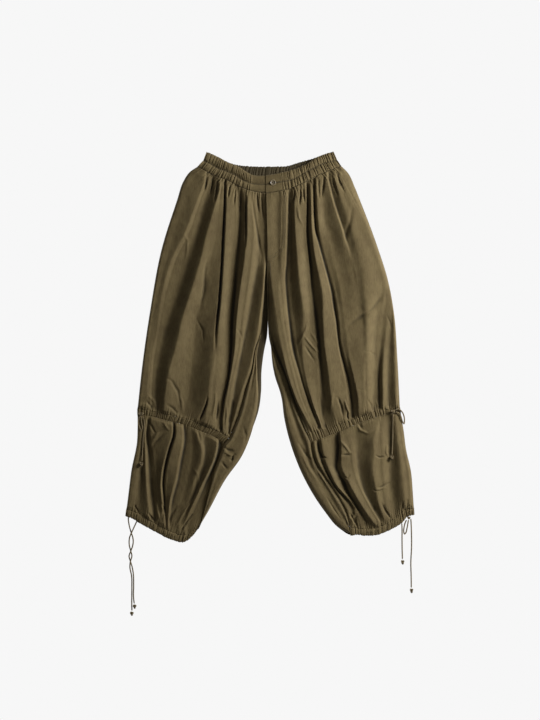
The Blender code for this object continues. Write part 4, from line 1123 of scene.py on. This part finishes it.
# Button.
# A sewn-on button of horn-like plastic with a raised rim, on the waistband's overlapping end. Its thread
# shows as two crossed bars, and the buttonhole lies beside it.
BUTTON_X, BUTTON_Y = 8.5, 411.5
horn = bpy.data.materials.new("horn_button")
horn.use_nodes = True
shader = horn.node_tree.nodes["Principled BSDF"]
shader.inputs["Roughness"].default_value = 0.42
shader.inputs["Coat Weight"].default_value = 0.15
place = add_node(horn, "ShaderNodeTexCoord").outputs["Object"]
cloud = add_node(horn, "ShaderNodeTexNoise", {"Vector": place, "Scale": 260, "Detail": 4})
streaks = {0: cloud.outputs["Fac"], 1: linear("3d3428"), 2: linear("8f8268")}
streaked = add_node(horn, "ShaderNodeMixRGB", streaks)
horn.node_tree.links.new(streaked.outputs[0], shader.inputs["Base Color"])
# radius and height
profile = np.array([
    (0.0, 8.6), (0.0, 9.9), (3.6, 9.9), (4.6, 10.2), (5.3, 11.0),
    (6.2, 11.3), (7.0, 10.9), (7.4, 10.1), (7.2, 9.2), (5.6, 8.5),
])
angle = np.linspace(0, math.tau, 48, endpoint=False)
points = np.stack(
    [
        BUTTON_X + profile[:, :1] * np.cos(angle),
        BUTTON_Y + profile[:, :1] * np.sin(angle),
        np.repeat(profile[:, 1:], len(angle), axis=1),
    ],
    axis=-1,
)
number = np.arange(points.shape[0] * len(angle)).reshape(-1, len(angle))
ahead = np.roll(number, -1, axis=1)
rings = np.stack([number[:-1], number[1:], ahead[1:], ahead[:-1]], axis=-1).reshape(-1, 4)
button = put_mesh("button_disc", points.reshape(-1, 3), rings.tolist(), horn)
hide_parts("button")
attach(button, "root")

thread = bpy.data.materials.new("dark_thread")
thread.use_nodes = True
shader = thread.node_tree.nodes["Principled BSDF"]
shader.inputs["Roughness"].default_value = 0.7
place = add_node(thread, "ShaderNodeTexCoord").outputs["Object"]
twist = add_node(thread, "ShaderNodeTexNoise", {"Vector": place, "Scale": 900})
strands = {0: twist.outputs["Fac"], 1: linear("2a2314"), 2: linear("50452c")}
spun = add_node(thread, "ShaderNodeMixRGB", strands)
thread.node_tree.links.new(spun.outputs[0], shader.inputs["Base Color"])
for turn in (0.8, 0.8 + math.pi / 2):
    dx, dy = 1.9 * math.cos(turn), 1.9 * math.sin(turn)
    bar = [
        (BUTTON_X - dx, BUTTON_Y - dy, 9.7),
        (BUTTON_X, BUTTON_Y, 10.5),
        (BUTTON_X + dx, BUTTON_Y + dy, 9.7),
    ]
    sewn = tube(f"button_thread_{round(turn)}", smooth_curve(bar, np.linspace(0, 1, 12)), 0.5, thread)
    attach(sewn, "root")
hole = tube(
    "buttonhole",
    np.array([(16.6, 412.6, 10.2), (20, 413.2, 9.9), (24, 414, 9.9), (28, 414.9, 9.8)]),
    0.75,
    thread,
)
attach(hole, "root")


# Knee casings and hems.
# Narrow tunnels for the drawcords, pulled into small tight gathers.
knee_casings, hem_fronts = {}, {}
for side, knee, hem in (
    ("left", (KNEE_TOP_LEFT, KNEE_FOOT_LEFT), (HEM_TOP_LEFT, HEM_FOOT_LEFT)),
    ("right", (KNEE_TOP_RIGHT, KNEE_FOOT_RIGHT), (HEM_TOP_RIGHT, HEM_FOOT_RIGHT)),
):
    knee_casings[side], _ = gathered_band(
        f"knee_casing_{side}_cloth",
        f"knee_casing_{side}",
        [moved(knee[0], 0, -GAP), moved(knee[1], 0, GAP)],
        count=38, level=5.6, puff=2.6, depth=3.4, finish=olive,
        under=BACKS_TOP, per=8, shift=0.3, scallop=(0, 3), falls=True,
    )
    hem_fronts[side], _ = gathered_band(
        f"hem_front_{side}_cloth",
        f"hem_front_{side}",
        [moved(hem[0], 0, -GAP), moved(hem[1], 0, -0.8)],
        count=26, level=5.4, puff=1.2, depth=3.2, finish=olive,
        under=BACKS_TOP, per=8, shift=0.3, scallop=(0, 2.2),
    )


# Lower front panels.
# They run from the knee casing to the hem and are gathered at both, with broad creased folds between.
SHIN_LEFT_FOLDS = [
    ("side seam", 1, [
        (416, 137.5, 8), (440, 137, 9), (472, 131.2, 10), (504, 127.2, 10), (512, 126.4, 8),
    ]),
    ("strip crest", 0, [
        (414, 141, 8), (430, 142, 9), (450, 139, 9.5), (472, 135.5, 10), (500, 130.5, 10), (510, 129.5, 8),
    ]),
    ("strip valley", 0, [
        (414, 144, 7), (432, 143.3, 6), (453, 142.5, 6), (475, 141.5, 6), (500, 139.5, 6), (512, 138.5, 6),
    ]),
    ("strip far crest", 0.5, [
        (414, 147, 9), (432, 144.8, 10), (453, 145.5, 11), (475, 146.3, 13), (495, 147.5, 13.5),
        (512, 149, 11),
    ]),
    ("wedge", 0.3, [
        (416, 149, 6), (434, 147, 3.5), (453, 148.9, 3.5), (475, 150.5, 3.5), (495, 152.5, 3.5),
        (513, 154.5, 4),
    ]),
    ("plateau edge", 0, [
        (416, 152, 10), (434, 151.5, 10), (453, 154, 9), (475, 157, 8), (495, 158.5, 8.5), (515, 160, 9),
    ]),
    ("first crest", 0.8, [
        (418, 171, 10), (425, 172.3, 15), (434, 172.3, 16), (449, 167.8, 17), (462, 164.4, 17),
        (481, 161.2, 17), (501, 162.3, 15), (520, 164.5, 10),
    ]),
    ("first crevice", 1, [
        (418, 172.8, 5), (425, 174, 4), (434, 174, 4), (449, 169.6, 4), (462, 166.2, 3.5),
        (481, 163.2, 3.5), (501, 164.4, 3.5), (521, 166.2, 5),
    ]),
    ("second flank", 0.2, [
        (418, 175.5, 10), (434, 176.3, 16), (449, 172.3, 16), (462, 168.8, 15), (481, 166, 11),
        (501, 166.2, 8), (521, 167.5, 7),
    ]),
    ("second crest", 0.8, [
        (418, 181, 10), (426, 182, 12), (440, 182.5, 14), (462, 178.7, 14.5), (481, 175.3, 14.5),
        (499, 170.6, 13.5), (519, 168.2, 9),
    ]),
    ("second crevice", 0.8, [
        (418, 183.5, 5), (426, 184.2, 4), (440, 185, 3.5), (462, 181.4, 3.5), (481, 178, 3.5),
        (499, 173, 3.5), (519, 170.2, 5),
    ]),
    ("dark plateau", 0, [
        (418, 190, 7), (440, 191.5, 6), (462, 190.5, 6), (481, 187, 6), (499, 181, 6), (521, 174.5, 6),
    ]),
    ("soft ridge", 0.4, [
        (419, 197, 9), (440, 199.8, 13), (451, 202, 14.5), (462, 200.8, 14), (475, 196, 12), (495, 190, 9),
        (522, 179, 7),
    ]),
    ("soft dip", 0, [
        (420, 203, 8), (440, 204.5, 8), (451, 206, 8.5), (462, 205, 8.5), (478, 199.5, 8), (497, 193, 7),
        (523, 181.5, 6),
    ]),
    ("lip", 0.8, [
        (430, 216, 11), (440, 217.3, 16), (456, 215, 18), (468.5, 210, 18), (482, 203.3, 17),
        (497, 196.4, 15), (508, 191, 12), (525, 184.5, 8),
    ]),
    ("deep gap", 0.5, [
        (430, 218.2, 4), (440, 219.4, 3.5), (456, 217.1, 3.5), (468.5, 212.6, 3.5), (482, 206.8, 3.5),
        (497, 200.5, 3.5), (508, 195.5, 4), (525, 188, 5),
    ]),
    ("gap's far side", 0, [
        (432, 221.8, 5), (440, 222.3, 3.5), (456, 218.5, 3.5), (468.5, 213.9, 3.5), (482, 209.3, 3.5),
        (497, 204.6, 3.5), (508, 200, 4.5), (525, 193.5, 6),
    ]),
    ("seam", 1, [
        (432, 224, 6), (442, 223.7, 6), (457, 218.8, 6), (470, 214.2, 6), (488, 209.3, 6), (510, 204.2, 6),
        (528, 197.5, 6),
    ]),
]
SHIN_RIGHT_FOLDS = [
    ("seam", 1, [
        (438, 311, 6), (450, 312.3, 6), (461, 315.3, 6), (474, 322.6, 6), (485.5, 330.2, 6),
        (498, 338.2, 6), (511, 345.5, 6), (527, 350, 6),
    ]),
    ("seam ridge", 0, [
        (438, 314, 9), (450, 315.3, 11), (461, 318.3, 12), (474, 325.4, 11), (485.5, 333, 9),
        (498, 341, 9), (511, 347.8, 9), (525, 352.3, 7),
    ]),
    ("seam crevice", 0.6, [
        (438, 317, 4), (450, 318.8, 4), (461, 321.5, 7), (474, 327.2, 5), (481, 330.6, 3.5),
        (490.5, 336.8, 3.5), (496, 343.6, 3.5), (503, 349.8, 4), (515, 353.6, 5), (527, 357, 5),
    ]),
    ("small crest", 0.3, [
        (438, 321, 11), (450, 323, 13), (461, 326, 14), (474, 331, 15), (485, 336.5, 14), (496, 346.2, 12),
        (503, 351.8, 10), (515, 358, 8), (527, 361, 6),
    ]),
    ("black valley", 0.6, [
        (436, 337.5, 4), (447, 338.3, 3.5), (458, 337.3, 3.5), (467, 336, 5), (475, 339.5, 6),
        (482, 343.7, 3.5), (492, 347.4, 3.5), (503, 354, 3.5), (512, 360, 4), (522, 366, 4),
    ]),
    ("slant ridge", 0.5, [
        (436, 340, 13), (447, 341, 15), (458, 341, 15), (467, 341.8, 15), (475, 345, 16.5), (487, 351, 17),
        (505, 361.5, 15.5), (522, 373.5, 12), (529, 380, 8),
    ]),
    ("slant flank", 0, [
        (436, 346, 12), (447, 350, 11), (458, 351.5, 12), (475, 354.5, 11.5), (487, 359.5, 11.5),
        (505, 368.5, 11), (522, 378.5, 9),
    ]),
    ("dark valley", 0, [
        (430, 356, 9), (445, 358.5, 6.5), (460, 358.8, 5), (475, 361, 5), (490, 364.5, 5), (505, 372, 5.5),
        (522, 381.5, 6),
    ]),
    ("middle crest", 0.6, [
        (419, 378.4, 10), (430, 375.5, 15), (440, 373, 16.5), (453.5, 373.6, 16.5), (467, 372.2, 17),
        (481, 374.3, 17), (490.5, 376, 15.5), (505, 379, 13), (522, 386, 8),
    ]),
    ("middle flank", 0, [
        (419, 381, 9), (440, 380, 12), (453, 382, 11), (467, 381, 11.5), (481, 383, 11), (495, 383.5, 9.5),
        (510, 386, 8), (522, 390, 6),
    ]),
    ("inner valley", 0, [
        (417, 389, 6), (440, 390, 5), (460, 391, 4), (480, 391, 4), (500, 393, 4.5), (515, 395, 5),
    ]),
    ("side ridge", 0, [
        (416, 395, 10), (440, 397.5, 12), (460, 400, 13), (480, 402, 14), (500, 404, 13.5), (512, 405, 10),
    ]),
    ("side fall", 0, [
        (414, 398.5, 8), (440, 402, 9), (460, 405.5, 10), (480, 408.5, 10), (500, 410, 9.5), (509, 411, 8),
    ]),
    ("side seam", 1, [
        (412, 400.5, 6), (440, 405, 6), (472, 411, 6), (504, 413.3, 6), (508, 414, 6),
    ]),
]
SHIN_LEFT_CREASES = [
    (5, -2.6, 0, [(166, 432), (160, 438), (154, 444), (150.5, 449)]),
    (4, 2.0, 0, [(160, 431), (155, 437), (152, 442)]),
    (3, -3, 0, [(146, 417), (151, 425), (156, 434)]),
    (3, 2, 0, [(163, 420), (166, 426), (170, 431)]),
    (3, -3, 0, [(196, 424), (199, 434), (201, 443)]),
    (4, 1.6, 0, [(193, 468), (198, 474), (199, 484)]),
    (3, 2.4, 0, [(197, 495), (188, 506), (181, 517), (176, 527)]),
    (2.6, -5, 0, [(193, 513), (187, 521), (181, 531)]),
    (2.6, -4, 0, [(161, 500), (164, 508), (163, 518)]),
    (2.6, -4, 0, [(148, 512), (152, 518), (156, 523)]),
    (3, -3, 0, [(177, 506), (171, 516), (168, 525)]),
    (2.6, 2.4, 0, [(156, 502), (158, 512), (160, 520)]),
    (2.6, -3, 0, [(134, 504), (138, 511), (141, 517)]),
]
SHIN_RIGHT_CREASES = [
    (2.6, -5, 0, [(319.5, 451), (322.5, 457), (327, 458)]),
    (3, 3, -1, [(340, 440), (346, 447), (350.5, 453.5)]),
    (2.6, -3.5, 0, [(341, 455), (346, 454.5), (351, 454.5)]),
    (2.6, -3, 0, [(343, 476), (347, 478), (350, 474)]),
    (3, 2.4, 0, [(356, 423), (360, 430), (367, 433), (373, 430)]),
    (3, -3, 0, [(357, 419), (360, 426), (362, 429)]),
    (2.0, -2.6, 0, [(374.5, 455), (379, 457), (385, 456.5)]),
    (2.0, -2.4, 0, [(376, 488), (382, 486), (390, 482)]),
    (2.6, 2.2, 0, [(372, 492), (378, 489), (386, 487)]),
    (2.4, -2.4, 0, [(372, 489), (376, 490.5), (380, 490)]),
    (3, -3.5, 0, [(349, 512), (353, 519), (357, 526)]),
    (3, 2.8, 0, [(352, 508), (355, 513), (352, 519), (354, 526)]),
    (3, -3, 0, [(381, 502), (386, 512), (392, 520)]),
    (3, -3, 0, [(402, 500), (402, 508), (400, 514)]),
    (3, -3, 0, [(407, 498), (407, 505), (406, 511)]),
    (3, 2.4, 0, [(387, 444), (386, 452), (389, 458)]),
]
shin_left, shin_left_grid = front_panel(
    "front_lower_left_cloth",
    "front_lower_left",
    SHIN_LEFT_FOLDS,
    SHIN_LEFT_CREASES,
    moved(KNEE_FOOT_LEFT, -GAP, -GAP),
    moved(HEM_TOP_LEFT, -GAP, GAP),
    moved(SHIN_LEFT, -GAP, 0),
    moved(SHIN_SEAM_LEFT, -GAP, 0),
    rows=150,
    columns=130,
    sides=((3.4, 5), (5.5, 3)),
    ends=((6.5, 0.35, 9, 38, 1.8, 11), (5.6, 0.3, 11, 26, 2.6, 18)),
)
shin_right, shin_right_grid = front_panel(
    "front_lower_right_cloth",
    "front_lower_right",
    SHIN_RIGHT_FOLDS,
    SHIN_RIGHT_CREASES,
    moved(KNEE_FOOT_RIGHT, GAP, -GAP),
    moved(HEM_TOP_RIGHT, GAP, GAP),
    moved(SHIN_SEAM_RIGHT, GAP, 0),
    moved(SHIN_RIGHT, GAP, 0),
    rows=150,
    columns=130,
    sides=((6, 4), (3.4, 8)),
    ends=((6.5, 0.35, 9, 38, 1.8, 11), (5.6, 0.3, 11, 26, 2.6, 18)),
)


# Inner leg panels.
# A long narrow panel inside each leg, from the crotch to the hem, topstitched along its seam.
# heights across the panel: share, then at the top, middle and foot
INNER_LEFT_SECTION = [
    (0, 6, 7, 7), (0.12, 9, 10.5, 9), (0.3, 8, 9.5, 8.5), (0.62, 7.5, 10, 9), (0.88, 7, 8.5, 7),
    (1, 3.4, 3.4, 3.4),
]
INNER_RIGHT_SECTION = [
    (0, 3.4, 3.4, 3.4), (0.12, 6, 8.5, 7), (0.4, 7, 10.5, 9), (0.66, 5.5, 7.5, 8), (0.88, 8, 10.5, 9),
    (1, 6, 6, 6),
]
INNER_LEFT_CREASES = [
    (3, -3, 0, [(223, 447), (229, 450), (234, 451)]),
    (3, 2.6, 0, [(224, 451), (230, 455), (235, 455)]),
    (2.6, -4, 0, [(229, 459), (232, 460), (233, 455), (236, 454)]),
    (3, -2.4, 0, [(221, 461), (225, 466), (228, 470)]),
    (4, -1.6, 0, [(243, 425), (246, 436), (244, 447)]),
    (4, -1.6, 0, [(256, 352), (254, 372), (250, 392)]),
]
INNER_RIGHT_CREASES = [
    (5, -3, 0, [(283.5, 372), (290, 394), (298, 414), (305, 430)]),
    (4, -2.4, 0, [(297, 440), (304, 452), (313, 462)]),
    (5, 1.8, 0, [(300, 452), (310, 470), (322, 488)]),
    (4, -2, 0, [(312, 458), (318, 474), (328, 490), (336, 504)]),
    (3, -2, 0, [(326, 496), (333, 508), (341, 520)]),
]


def inner_leg(name, node, section, creases, seam, silhouette, seam_first):
    """A strip between its seam and the silhouette, its height a cubic across the section's rows, which change
    along its length on a parabola through the top, middle and foot."""
    shares = np.linspace(0, 1, 46)
    first, second = (seam, silhouette) if seam_first else (silhouette, seam)
    plan = first[:, None] + (second - first)[:, None] * shares[None, :, None]
    steps = np.linalg.norm(np.diff(seam, axis=0), axis=1)
    down = (np.concatenate([[0], np.cumsum(steps)]) / steps.sum())[:, None]
    rows = np.array(section, float)
    at_top, at_middle, at_foot = (through(rows[:, 0], rows[:, k], shares)[None] for k in (1, 2, 3))
    height = at_top * (1 - down) * (1 - 2 * down) + 4 * at_middle * down * (1 - down)
    height = height + at_foot * down * (2 * down - 1)
    x, y = plan[..., 0], plan[..., 1]
    height = height + crease_height(creases, x, y)
    height = height + 0.5 * soft_noise(x, y, 20, 15) + 0.2 * soft_noise(x, y, 7, 4)
    for edge in (0, -1):
        distance = np.linalg.norm(plan - plan[:, edge][:, None], axis=2)
        level = rows[edge, 2]
        height = level + (height - level) * rounded(distance, 5)
    made, grid = cloth_shell(name, plan, np.clip(height, 3.1, 20), olive)
    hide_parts(node)
    return made, grid


inner_legs, inner_grids = {}, {}
for side, grid, lower_grid, section, creases, silhouette in (
    ("left", left_grid, shin_left_grid, INNER_LEFT_SECTION, INNER_LEFT_CREASES, INNER_LEFT),
    ("right", right_grid, shin_right_grid, INNER_RIGHT_SECTION, INNER_RIGHT_CREASES, INNER_RIGHT),
):
    column = -1 if side == "left" else 0
    upper_edge, lower_edge = grid[:, column, :2], lower_grid[:, column, :2]
    seam_line = np.concatenate([upper_edge[upper_edge[:, 1] < 34], lower_edge])
    seam_line = smooth_curve(seam_line[::6], np.linspace(0, 1, 230)) + (1.2 if side == "left" else -1.2, 0)
    border = smooth_curve(silhouette, np.linspace(0, 1, 230))
    inner_legs[side], inner_grids[side] = inner_leg(
        f"inner_leg_{side}_cloth", f"inner_leg_{side}", section, creases, seam_line, border, side == "left"
    )


# Topstitching.
# Rows of single stitches along the waistband's channels, the fly, the centre seam and the inner leg seams.
def stitch_row(name, route, grid, pitch=3.7, length=2.9):
    """One row of stitches: each is a thin six-sided bar, tapered at both ends, which lies on the cloth's
    nearest grid points."""
    total = np.linalg.norm(np.diff(np.array(route), axis=0), axis=1).sum()
    count = max(3, round(total / pitch))
    middle = (np.arange(count) + 0.5) / count
    half = 0.5 * length / total
    start, end = smooth_curve(route, middle - half), smooth_curve(route, middle + half)
    start = np.column_stack([start, drop(start, grid) + 0.05])
    end = np.column_stack([end, drop(end, grid) + 0.05])
    ahead = end - start
    side = np.cross(ahead, (0, 0, 1.0))
    side /= np.linalg.norm(side, axis=1, keepdims=True)
    angle = np.linspace(0, math.tau, 6, endpoint=False)
    around = np.cos(angle)[:, None] * side[:, None] + np.sin(angle)[:, None] * np.array((0, 0, 1.0))
    shares, sizes = (0, 0.2, 0.8, 1), (0.12, 0.42, 0.42, 0.12)
    rings = [(start + ahead * t)[:, None] + around * size for t, size in zip(shares, sizes)]
    points = np.stack(rings, axis=1).reshape(-1, 3)
    number = np.arange(24).reshape(4, 6)
    after = np.roll(number, -1, axis=1)
    faces = np.stack([number[:-1], after[:-1], after[1:], number[1:]], axis=-1).reshape(-1, 4)
    faces = (faces[None] + 24 * np.arange(count)[:, None, None]).reshape(-1, 4)
    made = put_mesh(name, points, faces.tolist(), thread)
    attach(made, "root")


stitch_row("fly_stitches_outer", on_sheet(outer_row), fly_grid)
stitch_row("fly_stitches_inner", on_sheet(inner_row), fly_grid)
stitch_row("centre_stitches_a", on_sheet([(268.3, 262), (268.5, 280), (269, 300), (270.6, 330)]), right_grid)
stitch_row("centre_stitches_b", on_sheet([(270.4, 263), (270.4, 272), (270.2, 280)]), right_grid)
for side, grid, seam_column in (("left", inner_grids["left"], 0), ("right", inner_grids["right"], -1)):
    seam, across = grid[:, seam_column, :2], grid[:, -1 - seam_column, :2] - grid[:, seam_column, :2]
    wide = np.linalg.norm(across, axis=1, keepdims=True)
    rows = (wide[:, 0] > 13) & (seam[:, 1] < -60)
    for k, inset in enumerate((2.6, 6.4)):
        line = (seam + across * inset / np.maximum(wide, 1))[rows]
        stitch_row(f"inner_leg_stitches_{side}_{k}", line[::4], grid)
for side, grid, mid, seam in (
    ("left", band_left_grid, WAIST_MID_LEFT, WAIST_SEAM_LEFT),
    ("right", band_right_grid, WAIST_MID_RIGHT, WAIST_SEAM_RIGHT),
):
    stitch_row(f"waistband_stitches_{side}_a", mid, grid)
    stitch_row(f"waistband_stitches_{side}_b", moved(seam, 0, 1.6), grid)
